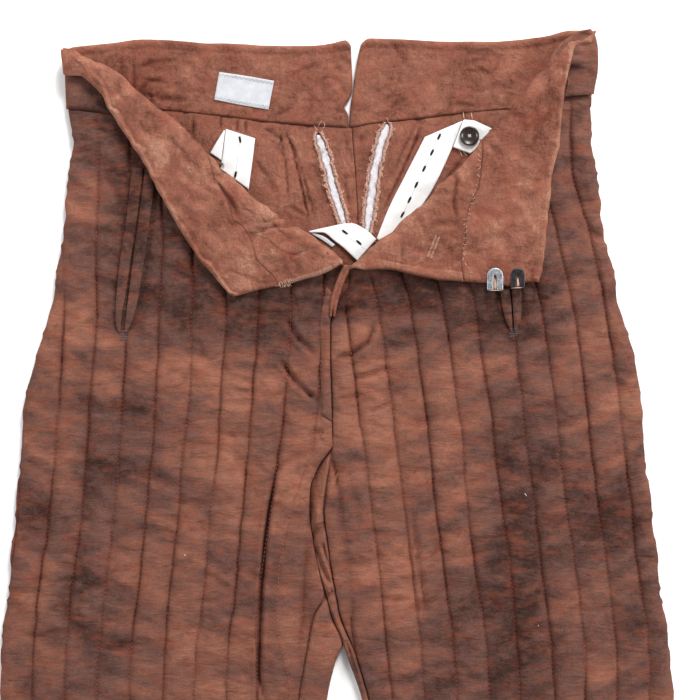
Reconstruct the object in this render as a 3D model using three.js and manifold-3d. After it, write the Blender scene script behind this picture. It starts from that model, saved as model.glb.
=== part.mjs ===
// A quilted trouser liner laid flat, its fly open and both front corners folded outwards.
// Millimetres, +Z up, +X to the right as it lies, +Y towards the waist, underside on z = 0.
import * as THREE from 'three';
import { mergeVertices } from 'three/addons/utils/BufferGeometryUtils.js';
import Module from 'manifold-3d';

const wasm = await Module();
wasm.setup();

// ---- driving dimensions ----
const HEM = -510;               // height of the hems up the garment
const WALL = 4.5;               // padded wall of the back
const GAP = 0.3;                // between pieces that touch
const INSIDE = WALL + GAP;      // height of the front's plain inside
const STITCHED = 3.2;           // front wall where it is stitched through
const CROWN = 3.0;              // rise of a quilted channel over its stitching
const PITCH = 29.3;             // width of one quilted channel
const CHANNELS = 9;             // channels across the widest part of a front
const FOLD_WALL = 4.0;          // front wall where it folds over
const FOLD_RADIUS = 7.0;        // outer radius of the fold
const SETTLE = 3.2;             // how far a flap sinks from its fold to its free edge
const SETTLE_RUN = 80;          // distance over which it sinks
const BAND_EXTRA = 0.8;         // the waistband is this much thicker than the front
const SEAM = 0.5;               // opening between front and waistband along their seam
const TRIM = 1.2;               // tape, elastic and hook plates
const EDGE_ROUND = 9;           // width of the rounded border of a panel
const RAISED = 9.8;             // height of the back cloth where it wraps round the inner leg
const SQUEEZE = 0.4;            // least spacing of grid lines
const THIN_EDGE = 1.6;          // front wall at its very border
const EDGE_SHARE = 0.45;        // share of its fullness that a front keeps at its border
const BAND_RIM = 1.8;           // how much lower the back waistband is at its rims
const ROLL_CLEAR = 3.5;         // the left button ends this far from the fold's line

// Section heights up the garment and the places of the long edges at each of them.
// sideL and sideR are the side seams. edgeL and edgeR are the folded inner edges of the legs,
// the centre-back seam above the crotch. seamL and seamR are the inner edges of the fronts:
// the inseams, and the fly above the crotch.
const SECTIONS = [
  { y: -510, sideL: -287, sideR: 312, edgeL: -57, edgeR: 82, seamL: -81, seamR: 90 },
  { y: -300, sideL: -302, sideR: 309, edgeL: -37, edgeR: 50, seamL: -62, seamR: 58 },
  { y: -95, sideL: -311, sideR: 297, edgeL: -16, edgeR: 15, seamL: -42, seamR: 22 },
  { y: -60, sideL: -310, sideR: 293, edgeL: -8, edgeR: 3, seamL: -36, seamR: 11 },
  { y: -45, sideL: -309, sideR: 291, edgeL: -2, edgeR: -2, seamL: -33, seamR: 6 },
  { y: -20, sideL: -307, sideR: 289, edgeL: -12, edgeR: -12, seamL: -28, seamR: -4 },
  { y: 0, sideL: -304, sideR: 285, edgeL: -17, edgeR: -17, seamL: -19, seamR: -8 },
  { y: 20, sideL: -302, sideR: 283, edgeL: -23, edgeR: -23, seamL: -23, seamR: -12 },
  { y: 50, sideL: -300, sideR: 280, edgeL: -29, edgeR: -29, seamL: -29, seamR: -16 },
  { y: 76, sideL: -298, sideR: 278, edgeL: -32, edgeR: -32, seamL: -32, seamR: -19 },
  { y: 96, sideL: -296, sideR: 275, edgeL: -31, edgeR: -31, seamL: -31, seamR: -17 },
  { y: 116, sideL: -294, sideR: 272, edgeL: -23, edgeR: -23, seamL: -23, seamR: -14 },
  { y: 127, sideL: -293, sideR: 271, edgeL: -15.5, edgeR: -15.5, seamL: -15.5, seamR: -12.5 },
  { y: 134, sideL: -292, sideR: 270, edgeL: -11, edgeR: -11, seamL: -11, seamR: -11 },
  { y: 172, sideL: -288, sideR: 266, edgeL: -5, edgeR: -5, seamL: -12, seamR: -12 },
  { y: 208, sideL: -280, sideR: 262, edgeL: 2, edgeR: 2, seamL: -13, seamR: -13 },
  { y: 240, sideL: -271, sideR: 254, edgeL: 6, edgeR: 6, seamL: -13, seamR: -13 },
  { y: 262, sideL: -265, sideR: 247, edgeL: 8, edgeR: 8, seamL: -11, seamR: -8 },
  { y: 282, sideL: -260, sideR: 243, edgeL: 9, edgeR: 9, seamL: -6, seamR: 4 },
  { y: 330, sideL: -254, sideR: 233, edgeL: 12, edgeR: 12, seamL: 6, seamR: 4 },
  { y: 372, sideL: -250, sideR: 228, edgeL: 10, edgeR: 10, seamL: 7, seamR: 1 },
  { y: 410, sideL: -246, sideR: 223, edgeL: 7, edgeR: 7, seamL: -2, seamR: -3 },
  { y: 440, sideL: -251, sideR: 222, edgeL: 5, edgeR: 5, seamL: -2, seamR: -5 },
];

// The outermost stitched line of the quilting, leaning as the side seam does.
const GRAIN = [
  { y: -510, left: -257, right: 283 },
  { y: -95, left: -282, right: 276 },
  { y: 85, left: -266, right: 257 },
  { y: 220, left: -256, right: 241 },
  { y: 266, left: -254, right: 234 },
  { y: 336, left: -253, right: 218 },
  { y: 393, left: -253, right: 204 },
  { y: 440, left: -253, right: 198 },
];

// Fronts: the waistband seam and the waist edge across the flat pattern, from side to fly,
// and the fold that turns each corner out, from the waist at the side down to the fly.
const FRONTS = {
  left: {
    seam: [
      { x: -251, y: 437 }, { x: -210, y: 432 }, { x: -165, y: 414 }, { x: -120, y: 396 },
      { x: -80, y: 382 }, { x: -40, y: 368 }, { x: 8, y: 361 },
    ],
    waist: [
      { x: -253, y: 493 }, { x: -200, y: 486 }, { x: -157, y: 473.5 }, { x: -110, y: 452 },
      { x: -56, y: 427.5 }, { x: 0, y: 397 },
    ],
    fold: { from: [-251, 492], to: [1, 295.5], bow: [
      { a: -40, b: 0 }, { a: 0, b: 0 }, { a: 40, b: 8 }, { a: 90, b: 8 }, { a: 160, b: 2 },
      { a: 250, b: -3 }, { a: 290, b: 3 }, { a: 320, b: 0 }, { a: 360, b: 0 },
    ] },
  },
  right: {
    seam: [
      { x: -4, y: 392 }, { x: 28, y: 387 }, { x: 70, y: 394 }, { x: 118, y: 408 },
      { x: 155, y: 424 }, { x: 190, y: 445 }, { x: 222, y: 450 },
    ],
    waist: [
      { x: 3, y: 458 }, { x: 46, y: 465 }, { x: 88, y: 473 }, { x: 119, y: 483 },
      { x: 161, y: 493 }, { x: 190, y: 504 }, { x: 225, y: 508 },
    ],
    fold: { from: [221.5, 505.5], to: [8, 298], bow: [
      { a: -40, b: 0 }, { a: 0, b: 0 }, { a: 25, b: 9 }, { a: 64, b: 6 }, { a: 105, b: 1 },
      { a: 175, b: -5 }, { a: 230, b: -6 }, { a: 303, b: 0 }, { a: 360, b: 0 },
    ] },
  },
};

// Back: the waistband seam and the waist edge from side to side.
const BACK_SEAM = [
  { x: -252, y: 438 }, { x: -162, y: 436 }, { x: -110, y: 431 }, { x: -61, y: 425 },
  { x: 5, y: 421 }, { x: 22, y: 424 }, { x: 68, y: 429 }, { x: 140, y: 437 }, { x: 222, y: 440 },
];
const BACK_WAIST = [
  { x: -254, y: 493 }, { x: -216, y: 497 }, { x: -182, y: 501 }, { x: -130, y: 498 },
  { x: -32, y: 495 }, { x: 18, y: 502 }, { x: 92, y: 499 }, { x: 134, y: 499 },
  { x: 182, y: 504 }, { x: 205, y: 509 }, { x: 224, y: 509 },
];
// Ends of the two halves of the back waistband at the notch, from the seam up.
const NOTCH = [
  { up: 0, left: -5.5, right: -4.5 }, { up: 10, left: -6, right: -3 },
  { up: 19, left: -4.5, right: 4.5 }, { up: 40, left: 7, right: 7.6 },
  { up: 62, left: 6, right: 11 }, { up: 76, left: 2, right: 17 },
];

// Rips in the lining side of the back, from the waistband seam down.
const RIPS = {
  left: [[-24, 414], [-17, 391], [-12, 371], [-6.5, 352], [-1, 334], [1, 322]],
  right: [[38, 423], [33, 408], [27, 384], [24, 360], [20, 330], [18, 318]],
};
const RIP_HALF = 3.6;

// The pocket on each front: its mouth from top to foot, and the width of one welt.
const POCKETS = {
  left: { top: [-180, 374], foot: [-197, 240], welt: 10.5 },
  right: { top: [141, 374], foot: [150, 240], welt: 9 },
};

// ---- tables ----
// value of a column at a height, straight between the rows
function along(table, key, column, at) {
  let i = 0;
  while (i < table.length - 2 && table[i + 1][key] < at) i += 1;
  const low = table[i];
  const high = table[i + 1];
  const part = (at - low[key]) / (high[key] - low[key]);
  return low[column] + (high[column] - low[column]) * part;
}

const clamp = (v, low, high) => Math.min(Math.max(v, low), high);
const smooth = (low, high, v) => {
  const t = clamp((v - low) / (high - low), 0, 1);
  return t * t * (3 - 2 * t);
};

// ---- geometry helpers ----
// A closed body from a grid of inner and a grid of outer points, indexed [row][column].
function wall(inner, outer) {
  const rows = inner.length;
  const cols = inner[0].length;
  const positions = [...outer.flat(), ...inner.flat()].flat();
  const top = (r, c) => r * cols + c;
  const under = (r, c) => rows * cols + r * cols + c;
  const index = [];
  const quad = (a, b, c, d) => index.push(a, b, c, a, c, d);
  for (let r = 0; r < rows - 1; r += 1) {
    for (let c = 0; c < cols - 1; c += 1) {
      quad(top(r, c), top(r, c + 1), top(r + 1, c + 1), top(r + 1, c));
      quad(under(r, c), under(r + 1, c), under(r + 1, c + 1), under(r, c + 1));
    }
    quad(top(r + 1, 0), under(r + 1, 0), under(r, 0), top(r, 0));
    quad(top(r, cols - 1), under(r, cols - 1), under(r + 1, cols - 1), top(r + 1, cols - 1));
  }
  for (let c = 0; c < cols - 1; c += 1) {
    quad(top(0, c), under(0, c), under(0, c + 1), top(0, c + 1));
    const last = rows - 1;
    quad(top(last, c + 1), under(last, c + 1), under(last, c), top(last, c));
  }
  return facingOut(positions, index);
}

// Turns the triangles round where the body would come out inside out.
function facingOut(positions, index) {
  let volume = 0;
  const p = (i) => new THREE.Vector3(...positions.slice(3 * i, 3 * i + 3));
  for (let i = 0; i < index.length; i += 3) {
    volume += p(index[i]).dot(p(index[i + 1]).cross(p(index[i + 2])));
  }
  if (volume < 0) index.reverse();
  const geometry = new THREE.BufferGeometry();
  geometry.setAttribute('position', new THREE.Float32BufferAttribute(positions, 3));
  geometry.setIndex(index);
  return geometry;
}

function toSolid(geometry) {
  const bare = geometry.clone();
  bare.deleteAttribute('normal');
  bare.deleteAttribute('uv');
  const merged = mergeVertices(bare, 1e-4);
  return new wasm.Manifold(new wasm.Mesh({
    numProp: 3,
    vertProperties: new Float32Array(merged.attributes.position.array),
    triVerts: new Uint32Array(merged.index.array),
  }));
}

function toGeometry(solid) {
  const mesh = solid.getMesh();
  const geometry = new THREE.BufferGeometry();
  geometry.setAttribute('position', new THREE.BufferAttribute(new Float32Array(mesh.vertProperties), 3));
  geometry.setIndex(new THREE.BufferAttribute(new Uint32Array(mesh.triVerts), 1));
  return geometry;
}

// A flat plate of an outline, from one height to another.
function plate(outline, low, high) {
  const shape = new THREE.Shape(outline.map(([x, y]) => new THREE.Vector2(x, y)));
  const geometry = new THREE.ExtrudeGeometry(shape, { depth: high - low, bevelEnabled: false });
  return geometry.translate(0, 0, low);
}

// The outline of a ribbon of half width h along a route of points.
function ribbon(route, half) {
  const sides = route.map(([x, y], i) => {
    const [ax, ay] = route[Math.max(i - 1, 0)];
    const [bx, by] = route[Math.min(i + 1, route.length - 1)];
    const length = Math.hypot(bx - ax, by - ay);
    return [[x - (half * (by - ay)) / length, y + (half * (bx - ax)) / length],
      [x + (half * (by - ay)) / length, y - (half * (bx - ax)) / length]];
  });
  return [...sides.map((s) => s[0]), ...sides.map((s) => s[1]).reverse()];
}

// ---- the fold of a front corner ----
// Distance along the fold and distance beyond it, in the flat pattern.
function foldFrame(fold) {
  const [ax, ay] = fold.from;
  const length = Math.hypot(fold.to[0] - ax, fold.to[1] - ay);
  const ux = (fold.to[0] - ax) / length;
  const uy = (fold.to[1] - ay) / length;
  const turn = ux > 0 ? 1 : -1;
  return { ax, ay, ux, uy, nx: -uy * turn, ny: ux * turn, bow: fold.bow };
}

function beyondFold(frame, x, y) {
  const a = (x - frame.ax) * frame.ux + (y - frame.ay) * frame.uy;
  const b = (x - frame.ax) * frame.nx + (y - frame.ay) * frame.ny;
  const bow = along(frame.bow, 'a', 'b', a);
  return { a, bow, d: b - bow };
}

const settle = (d) => SETTLE * smooth(FOLD_RADIUS, SETTLE_RUN, d);
const flapTop = (d) => INSIDE + 2 * FOLD_RADIUS - settle(d);

// Where a point of the flat pattern, w above its lining, comes to lie once it is folded:
// flat before the fold, round a half circle at it, and mirrored and lifted beyond it.
function folded(frame, x, y, w) {
  const { a, bow, d } = beyondFold(frame, x, y);
  let b = bow + d;
  let z = INSIDE + w;
  if (d > -FOLD_RADIUS && d < FOLD_RADIUS) {
    const angle = (Math.PI / 2) * (d / FOLD_RADIUS);
    b = bow - FOLD_RADIUS + (FOLD_RADIUS - w) * Math.cos(angle);
    z = INSIDE + FOLD_RADIUS + (FOLD_RADIUS - w) * Math.sin(angle);
  } else if (d >= FOLD_RADIUS) {
    b = bow - d;
    z = flapTop(d) - w;
  }
  return [frame.ax + a * frame.ux + b * frame.nx, frame.ay + a * frame.uy + b * frame.ny, z];
}

// ---- quilting ----
// How far into its channel a point lies, 0 at the stitching and 1 at the crown.
function channel(side, x, y) {
  const line = along(GRAIN, 'y', side, y);
  const across = (x - line) / PITCH;
  return Math.sqrt(Math.abs(Math.sin(Math.PI * across)));
}

// 1 over the pocket mouth, where the quilting is pressed flat, and 0 clear of it.
function pressed(side, x, y) {
  const { top, foot, welt } = POCKETS[side];
  const part = clamp((y - foot[1]) / (top[1] - foot[1]), 0, 1);
  const off = Math.abs(x - (foot[0] + (top[0] - foot[0]) * part));
  const above = Math.max(foot[1] - y, y - top[1], 0);
  return (1 - smooth(welt + 9, welt + 17, off)) * (1 - smooth(22, 44, above));
}

// Thickness of the front at a pattern point: quilted, thinner at the borders and the fold.
function frontWall(side, frame, x, y, border, below) {
  const { d } = beyondFold(frame, x, y);
  const quilted = STITCHED + CROWN * channel(side, x, y) * (1 - pressed(side, x, y));
  const calm = smooth(-3 * FOLD_RADIUS, -FOLD_RADIUS, d);
  const flat = Math.max(calm, 1 - smooth(0, 14, below));
  const thick = quilted + (FOLD_WALL - quilted) * flat;
  const round = Math.sqrt(clamp(border / EDGE_ROUND, 0, 1));
  return THIN_EDGE + (thick - THIN_EDGE) * (EDGE_SHARE + (1 - EDGE_SHARE) * round);
}

// Columns of a front at one height: the borders, then the channels between them.
function frontColumns(side, y) {
  const outer = along(SECTIONS, 'y', side === 'left' ? 'sideL' : 'sideR', y);
  const inner = along(SECTIONS, 'y', side === 'left' ? 'seamL' : 'seamR', y);
  const way = side === 'left' ? 1 : -1;
  const low = way * outer + GAP;
  const high = way * inner - GAP / 2;
  const line = way * along(GRAIN, 'y', side, y);
  const across = [0, 0.25 * EDGE_ROUND, EDGE_ROUND].map((e) => low + e);
  const steps = [0, 0.27, 0.73];
  const wanted = [];
  for (let k = -1; k < CHANNELS; k += 1) {
    for (const s of steps) wanted.push(line + (k + s) * PITCH);
  }
  const total = wanted.length;
  wanted.forEach((x, i) => {
    across.push(clamp(x, low + EDGE_ROUND + (i + 1) * SQUEEZE, high - EDGE_ROUND - (total - i) * SQUEEZE));
  });
  across.push(high - EDGE_ROUND, high - 0.25 * EDGE_ROUND, high);
  return across.map((x) => ({ x: way * x, border: Math.min(x - low, high - x) }));
}

const COLUMN_COUNT = frontColumns('left', 0).length;
const BEND_STEPS = [-1, -0.62, -0.22, 0.22, 0.62, 1];
const FLAP_ROWS = 3;
const LEG_LEVELS = SECTIONS.map((s) => s.y).filter((y) => y <= 270);

// height on a column where a test value, rising with height, reaches zero
function rootUp(test, low, high) {
  let a = low;
  let b = high;
  for (let i = 0; i < 40; i += 1) {
    const mid = (a + b) / 2;
    if (test(mid) < 0) a = mid; else b = mid;
  }
  return (a + b) / 2;
}

function columnHeights(side, frame, c) {
  const seam = FRONTS[side].seam;
  const at = (y) => frontColumns(side, y)[c].x;
  const top = rootUp((y) => y + SEAM / 2 - along(seam, 'x', 'y', at(y)), 250, 470);
  const bends = BEND_STEPS.map((k) => rootUp((y) => beyondFold(frame, at(y), y).d - k * FOLD_RADIUS, 150, 620));
  const spare = (n) => top - n * 1.5;
  const knee = Math.min(bends[0], spare(FLAP_ROWS + BEND_STEPS.length));
  const span = (knee - HEM) / (INNER_KNEE[side] - HEM);
  const heights = LEG_LEVELS.map((y) => HEM + (y - HEM) * span);
  BEND_STEPS.forEach((k, i) => heights.push(i === 0 ? knee
    : Math.min(bends[i], spare(FLAP_ROWS + BEND_STEPS.length - i))));
  const start = heights[heights.length - 1];
  for (let r = 1; r <= FLAP_ROWS; r += 1) heights.push(start + ((top - start) * r) / FLAP_ROWS);
  return { heights, top };
}

// height at which the fold begins on the inner edge of each front
const INNER_KNEE = {};
for (const side of ['left', 'right']) {
  const frame = foldFrame(FRONTS[side].fold);
  const last = COLUMN_COUNT - 1;
  INNER_KNEE[side] = rootUp((y) => beyondFold(frame, frontColumns(side, y)[last].x, y).d + FOLD_RADIUS, 150, 420);
}

// The lining and outer points of a front, leg and body in one: hem at the bottom, folded over
// towards the waistband seam.
function frontGrids(side) {
  const frame = foldFrame(FRONTS[side].fold);
  const inner = [];
  const outer = [];
  for (let c = 0; c < COLUMN_COUNT; c += 1) {
    const { heights, top } = columnHeights(side, frame, c);
    heights.forEach((y, r) => {
      inner[r] = inner[r] ?? [];
      outer[r] = outer[r] ?? [];
      const { x, border } = frontColumns(side, y)[c];
      const thick = frontWall(side, frame, x, y, Math.min(border, y - HEM + 2), top - y);
      inner[r].push(folded(frame, x, y, 0));
      outer[r].push(folded(frame, x, y, thick));
    });
  }
  return { inner, outer };
}

// A ribbon three columns wide down the inner border of a grid, moved out from its points.
function borderTape(grid, firstRow, lastRow) {
  const rows = grid.slice(firstRow, lastRow + 1).map((row) => row.slice(-3));
  const raised = (by) => rows.map((row) => row.map(([x, y, z]) => [x, y, z + by]));
  return wall(raised(GAP), raised(GAP + TRIM));
}

// The front waistband above its seam, folded with the front.
const BAND_ROWS_LOW = 2;
const BAND_ROWS_HIGH = 2;
function frontWaistband(side) {
  const frame = foldFrame(FRONTS[side].fold);
  const { waist } = FRONTS[side];
  const way = side === 'left' ? 1 : -1;
  const inner = [];
  const outer = [];
  const ends = [waist[0].x, waist[waist.length - 1].x].map((x) => way * x).sort((a, b) => a - b);
  const seamAt = (c) => {
    const { top } = columnHeights(side, frame, c);
    return [frontColumns(side, top)[c].x, top + SEAM];
  };
  const first = way * seamAt(0)[0];
  const last = way * seamAt(COLUMN_COUNT - 1)[0];
  for (let c = 0; c < COLUMN_COUNT; c += 1) {
    const [bx, by] = seamAt(c);
    const part = (way * bx - first) / (last - first);
    const tx = way * (ends[0] + (ends[1] - ends[0]) * part);
    const ty = along(waist, 'x', 'y', tx);
    const point = (t) => [bx + (tx - bx) * t, by + (ty - by) * t];
    const dist = (t) => beyondFold(frame, ...point(t)).d;
    const bends = BEND_STEPS.map((k) => rootUp((t) => dist(t) - k * FOLD_RADIUS, -4, 4));
    const room = 0.02;
    const rows = [];
    for (let r = 0; r < BAND_ROWS_LOW; r += 1) rows.push(r / BAND_ROWS_LOW);
    const least = (i) => (BAND_ROWS_LOW + i) * room;
    const most = (i) => 1 - (BAND_ROWS_HIGH + BEND_STEPS.length - i) * room;
    const bent = bends.map((t, i) => clamp(t, least(i), most(i)));
    for (let r = 0; r < BAND_ROWS_LOW; r += 1) rows[r] *= bent[0];
    rows.push(...bent);
    const start = bent[bent.length - 1];
    for (let r = 1; r <= BAND_ROWS_HIGH; r += 1) rows.push(start + ((1 - start) * r) / BAND_ROWS_HIGH);
    rows.forEach((t, r) => {
      inner[r] = inner[r] ?? [];
      outer[r] = outer[r] ?? [];
      const [x, y] = point(t);
      const lying = smooth(-FOLD_RADIUS, -3 * FOLD_RADIUS, dist(t));
      inner[r].push(folded(frame, x, y, 0));
      outer[r].push(folded(frame, x, y, FOLD_WALL + BAND_EXTRA * lying));
    });
  }
  return wall(inner, outer);
}

// ---- the back ----
const BACK_STEPS = 6;
// A back panel: flat underneath, plain on top, and raised along the inner leg, where it
// wraps round to meet the front at the inseam.
function back(side) {
  const way = side === 'left' ? 1 : -1;
  const key = (name) => name + (side === 'left' ? 'L' : 'R');
  const levels = SECTIONS.map((s) => s.y).filter((y) => y < 400);
  const low = [];
  const high = [];
  const columnsAt = (y) => {
    const outer = way * along(SECTIONS, 'y', key('side'), y);
    const edge = way * along(SECTIONS, 'y', key('edge'), y) - GAP / 2;
    const seam = way * along(SECTIONS, 'y', key('seam'), y) + GAP;
    const below = y < 134 ? edge - seam : 0;
    const lift = (RAISED - WALL) * smooth(3, 7, below);
    const root = Math.min(seam, edge - 0.9);
    const wrap = edge - root;
    const xs = [outer, outer + 0.8, outer + 3];
    const zs = [WALL - 2.5, WALL - 0.8, WALL];
    for (let i = 1; i < BACK_STEPS; i += 1) {
      xs.push(outer + 3 + ((root - outer - 3.1) * i) / BACK_STEPS);
      zs.push(WALL);
    }
    xs.push(root - 0.1, root, root + 0.45 * wrap, root + 0.8 * wrap, root + 0.94 * wrap, edge);
    zs.push(WALL, WALL + lift * 0.85, WALL + lift, WALL + lift * 0.8, WALL + lift * 0.45, WALL - 1.5 + lift * 0.2);
    return { xs, zs };
  };
  const count = columnsAt(0).xs.length;
  for (let c = 0; c < count; c += 1) {
    const at = (y) => way * columnsAt(y).xs[c];
    const top = rootUp((y) => y + SEAM / 2 - along(BACK_SEAM, 'x', 'y', at(y)), 380, 470);
    [...levels, top].forEach((y, r) => {
      low[r] = low[r] ?? [];
      high[r] = high[r] ?? [];
      low[r].push([at(y), y, 0]);
      high[r].push([at(y), y, columnsAt(y).zs[c]]);
    });
  }
  const panel = toSolid(wall(low, high));
  const rip = toSolid(plate(ribbon(RIPS[side], RIP_HALF), -1, WALL + 1));
  return toGeometry(panel.subtract(rip));
}

// Half of the back waistband, from the side seam to the notch.
function backWaistband(side) {
  const left = side === 'left';
  const low = [];
  const high = [];
  const columns = 10;
  const rise = NOTCH.map((n) => n.up / NOTCH[NOTCH.length - 1].up);
  rise.forEach((t, r) => {
    low[r] = [];
    high[r] = [];
    for (let c = 0; c <= columns; c += 1) {
      const outer = left ? -252 - 2 * t : 222.5 + 2 * t;
      const end = NOTCH[r][side] + (left ? -GAP / 2 : GAP / 2);
      const x = outer + ((end - outer) * c) / columns;
      const bottom = along(BACK_SEAM, 'x', 'y', x) + SEAM / 2;
      const waist = along(BACK_WAIST, 'x', 'y', x);
      const y = bottom + (waist - bottom) * t;
      const rim = r === rise.length - 1 || c === 0 ? BAND_RIM : 0;
      low[r].push([x, y, 0]);
      high[r].push([x, y, WALL - rim]);
    }
  });
  return wall(low, high);
}

// ---- trim ----
const ripStrip = (side) => plate(ribbon(RIPS[side], RIP_HALF - GAP), 0.4, WALL - 1.2);

// One welt of a pocket, lying on the pressed mouth.
function welt(side, which) {
  const { top, foot, welt: width } = POCKETS[side];
  const base = INSIDE + STITCHED + 2 * GAP;
  const off = which * (width / 2 + GAP / 2);
  const route = [[top[0] + off, top[1]], [foot[0] + off, foot[1]]];
  return plate(ribbon(route, width / 2), base, base + TRIM);
}

const BUTTON_RADIUS = 8.8;
const BUTTON_HEIGHT = 3.2;
const THREAD_HOLE = 1.0;
const HOLE_OFFSET = 1.7;
// A four-hole button with a raised rim and a dished middle.
function button(x, y, z) {
  const r = BUTTON_RADIUS;
  const h = BUTTON_HEIGHT;
  const profile = [[0, 0], [r - 1.2, 0], [r, 1.1], [r, h - 0.8], [r - 0.9, h], [r - 2.2, h - 0.2],
    [r - 3.2, h - 1.1], [0, h - 1.3]].map(([a, b]) => new THREE.Vector2(a, b));
  let solid = toSolid(new THREE.LatheGeometry(profile, 28).rotateX(Math.PI / 2));
  for (let k = 0; k < 4; k += 1) {
    const angle = Math.PI / 4 + (k * Math.PI) / 2;
    const bore = new THREE.CylinderGeometry(THREAD_HOLE, THREAD_HOLE, 4 * h, 8).rotateX(Math.PI / 2);
    bore.translate(HOLE_OFFSET * Math.cos(angle), HOLE_OFFSET * Math.sin(angle), 0);
    solid = solid.subtract(toSolid(bore));
  }
  return toGeometry(solid).translate(x, y, z);
}

// A stamped hook plate: an arch with a slot up from its foot.
function hookPlate(x, y, z, width, height, slot) {
  const r = width / 2;
  const outline = [];
  for (let k = 0; k <= 12; k += 1) {
    const angle = (Math.PI * k) / 12;
    outline.push([x + r * Math.cos(angle), y + height - r + r * Math.sin(angle)]);
  }
  outline.push([x - r * 0.96, y], [x - slot / 2, y]);
  for (let k = 0; k <= 6; k += 1) {
    const angle = Math.PI - (Math.PI * k) / 6;
    outline.push([x + (slot / 2) * Math.cos(angle), y + height * 0.52 + (slot / 2) * Math.sin(angle)]);
  }
  outline.push([x + slot / 2, y], [x + r * 0.96, y]);
  return plate(outline, z, z + TRIM);
}

// ---- elastics, laid on the lining of the back ----
const LAID = WALL + GAP;
const ELASTIC_RIGHT = [[70, 412], [87, 418], [97, 423], [106, 428], [113, 427], [131, 422],
  [134.5, 418], [125, 408.5], [113, 397], [96, 403], [72, 354], [45, 327.5], [31, 314.5], [28, 320],
  [38.5, 346]];
const ELASTIC_TAB = [[97, 423], [106, 428], [113, 427], [131, 422], [134.5, 418], [125, 408.5],
  [113, 397], [98, 402.5]];
const ELASTIC_CENTRE = [[-32, 327.5], [-21, 330.5], [5, 334.5], [18, 329.5], [27, 321.5],
  [29.5, 314.5], [12.5, 299.2], [10, 301], [-1, 312], [-9, 318.5], [-21, 326.5]];
const ELASTIC_UNDER = [[-32, 327.5], [-19, 327.5], [-8, 319.5], [-12, 312.5]];
const ELASTIC_LEFT = [[-108, 420], [-81.5, 411], [-88, 363.5], [-111.5, 383.5], [-117, 394.5], [-121, 395.8]];
const LABEL = [[-113.5, 471], [-64, 463], [-69, 437], [-118, 446]];

function elasticRight() {
  const strap = toSolid(plate(ELASTIC_RIGHT, LAID, LAID + TRIM));
  const tab = toSolid(plate(ELASTIC_TAB, LAID + TRIM - 0.1, LAID + 2 * TRIM));
  return toGeometry(strap.add(tab));
}
function elasticCentre() {
  const upper = toSolid(plate(ELASTIC_CENTRE, LAID + TRIM, LAID + 2 * TRIM));
  const under = toSolid(plate(ELASTIC_UNDER, LAID, LAID + TRIM + 0.1));
  return toGeometry(upper.add(under));
}

// The left button is mostly under the rolled fold, and ends where the roll covers it.
function buttonLeft() {
  const whole = toSolid(button(-119.5, 386, LAID + TRIM + GAP));
  const { from, to } = FRONTS.left.fold;
  const length = Math.hypot(to[0] - from[0], to[1] - from[1]);
  const ux = (to[0] - from[0]) / length;
  const uy = (to[1] - from[1]) / length;
  const clear = [-uy * ROLL_CLEAR, ux * ROLL_CLEAR];
  const shadow = plate([[from[0] + clear[0], from[1] + clear[1]], [to[0] + clear[0], to[1] + clear[1]],
    [to[0] - 200, to[1] - 200], [from[0] - 200, from[1] - 200]], -5, 40);
  return toGeometry(whole.subtract(toSolid(shadow)));
}

// ---- the garment ----
const garment = new THREE.Group();
function piece(name, geometry, color, roughness = 0.95, metalness = 0) {
  const mesh = new THREE.Mesh(geometry, new THREE.MeshStandardMaterial({ color, roughness, metalness }));
  mesh.name = name;
  garment.add(mesh);
}

const OUTER_CLOTH = 0x8a5e50;
const LINING = 0x97634f;
const ELASTIC_WHITE = 0xf1f0ee;
const FRONT_GRIDS = { left: frontGrids('left'), right: frontGrids('right') };
for (const side of ['left', 'right']) {
  piece(`back_${side}`, back(side), LINING);
  piece(`back_waistband_${side}`, backWaistband(side), LINING);
  piece(`front_${side}`, wall(FRONT_GRIDS[side].inner, FRONT_GRIDS[side].outer), OUTER_CLOTH);
  piece(`front_waistband_${side}`, frontWaistband(side), OUTER_CLOTH);
  piece(`rip_wadding_${side}`, ripStrip(side), 0xd9d4d7);
  piece(`pocket_welt_${side}_outer`, welt(side, -1), 0x6d5554);
  piece(`pocket_welt_${side}_inner`, welt(side, 1), 0x6d5554);
}
const flyFoot = LEG_LEVELS.indexOf(134);
const flyHead = LEG_LEVELS.indexOf(262);
piece('fly_tape_left', borderTape(FRONT_GRIDS.left.outer, flyFoot, flyHead), 0x8b5a4a);
const flapStart = LEG_LEVELS.length + BEND_STEPS.length - 1;
piece('fly_facing_right', borderTape(FRONT_GRIDS.right.inner, flapStart, flapStart + FLAP_ROWS), LINING);
piece('elastic_right', elasticRight(), ELASTIC_WHITE, 0.8);
piece('elastic_centre', elasticCentre(), ELASTIC_WHITE, 0.8);
piece('elastic_left', plate(ELASTIC_LEFT, LAID, LAID + TRIM), ELASTIC_WHITE, 0.8);
piece('button_right', button(112, 412.8, LAID + 2 * TRIM + GAP), 0x33221c, 0.35);
piece('button_left', buttonLeft(), 0x33221c, 0.35);
piece('label', plate(LABEL, WALL + GAP, WALL + GAP + 0.8), 0xf7f9fb, 0.7);

const HOOK_LEVEL = INSIDE + 2 * FOLD_RADIUS - SETTLE + GAP;
piece('waist_hook_steel', hookPlate(134.5, 274.5, HOOK_LEVEL, 14.4, 19, 3), 0x8d9298, 0.35, 1);
piece('waist_hook_black', hookPlate(155, 275.5, HOOK_LEVEL, 13, 17.5, 3), 0x1d1d20, 0.5, 0.3);

export default garment;
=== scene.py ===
"""A quilted trouser liner laid flat, its fly open and both front corners turned outwards.

Each cloth piece is a closed shell: a grid of points over its flat pattern, folded and lifted by
formula, with an outer and a lining surface joined round the rim. Tables and sizes are in
millimetres and reach Blender in metres. Patterns lie on x to the right and y up the garment.
"""
import math

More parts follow.
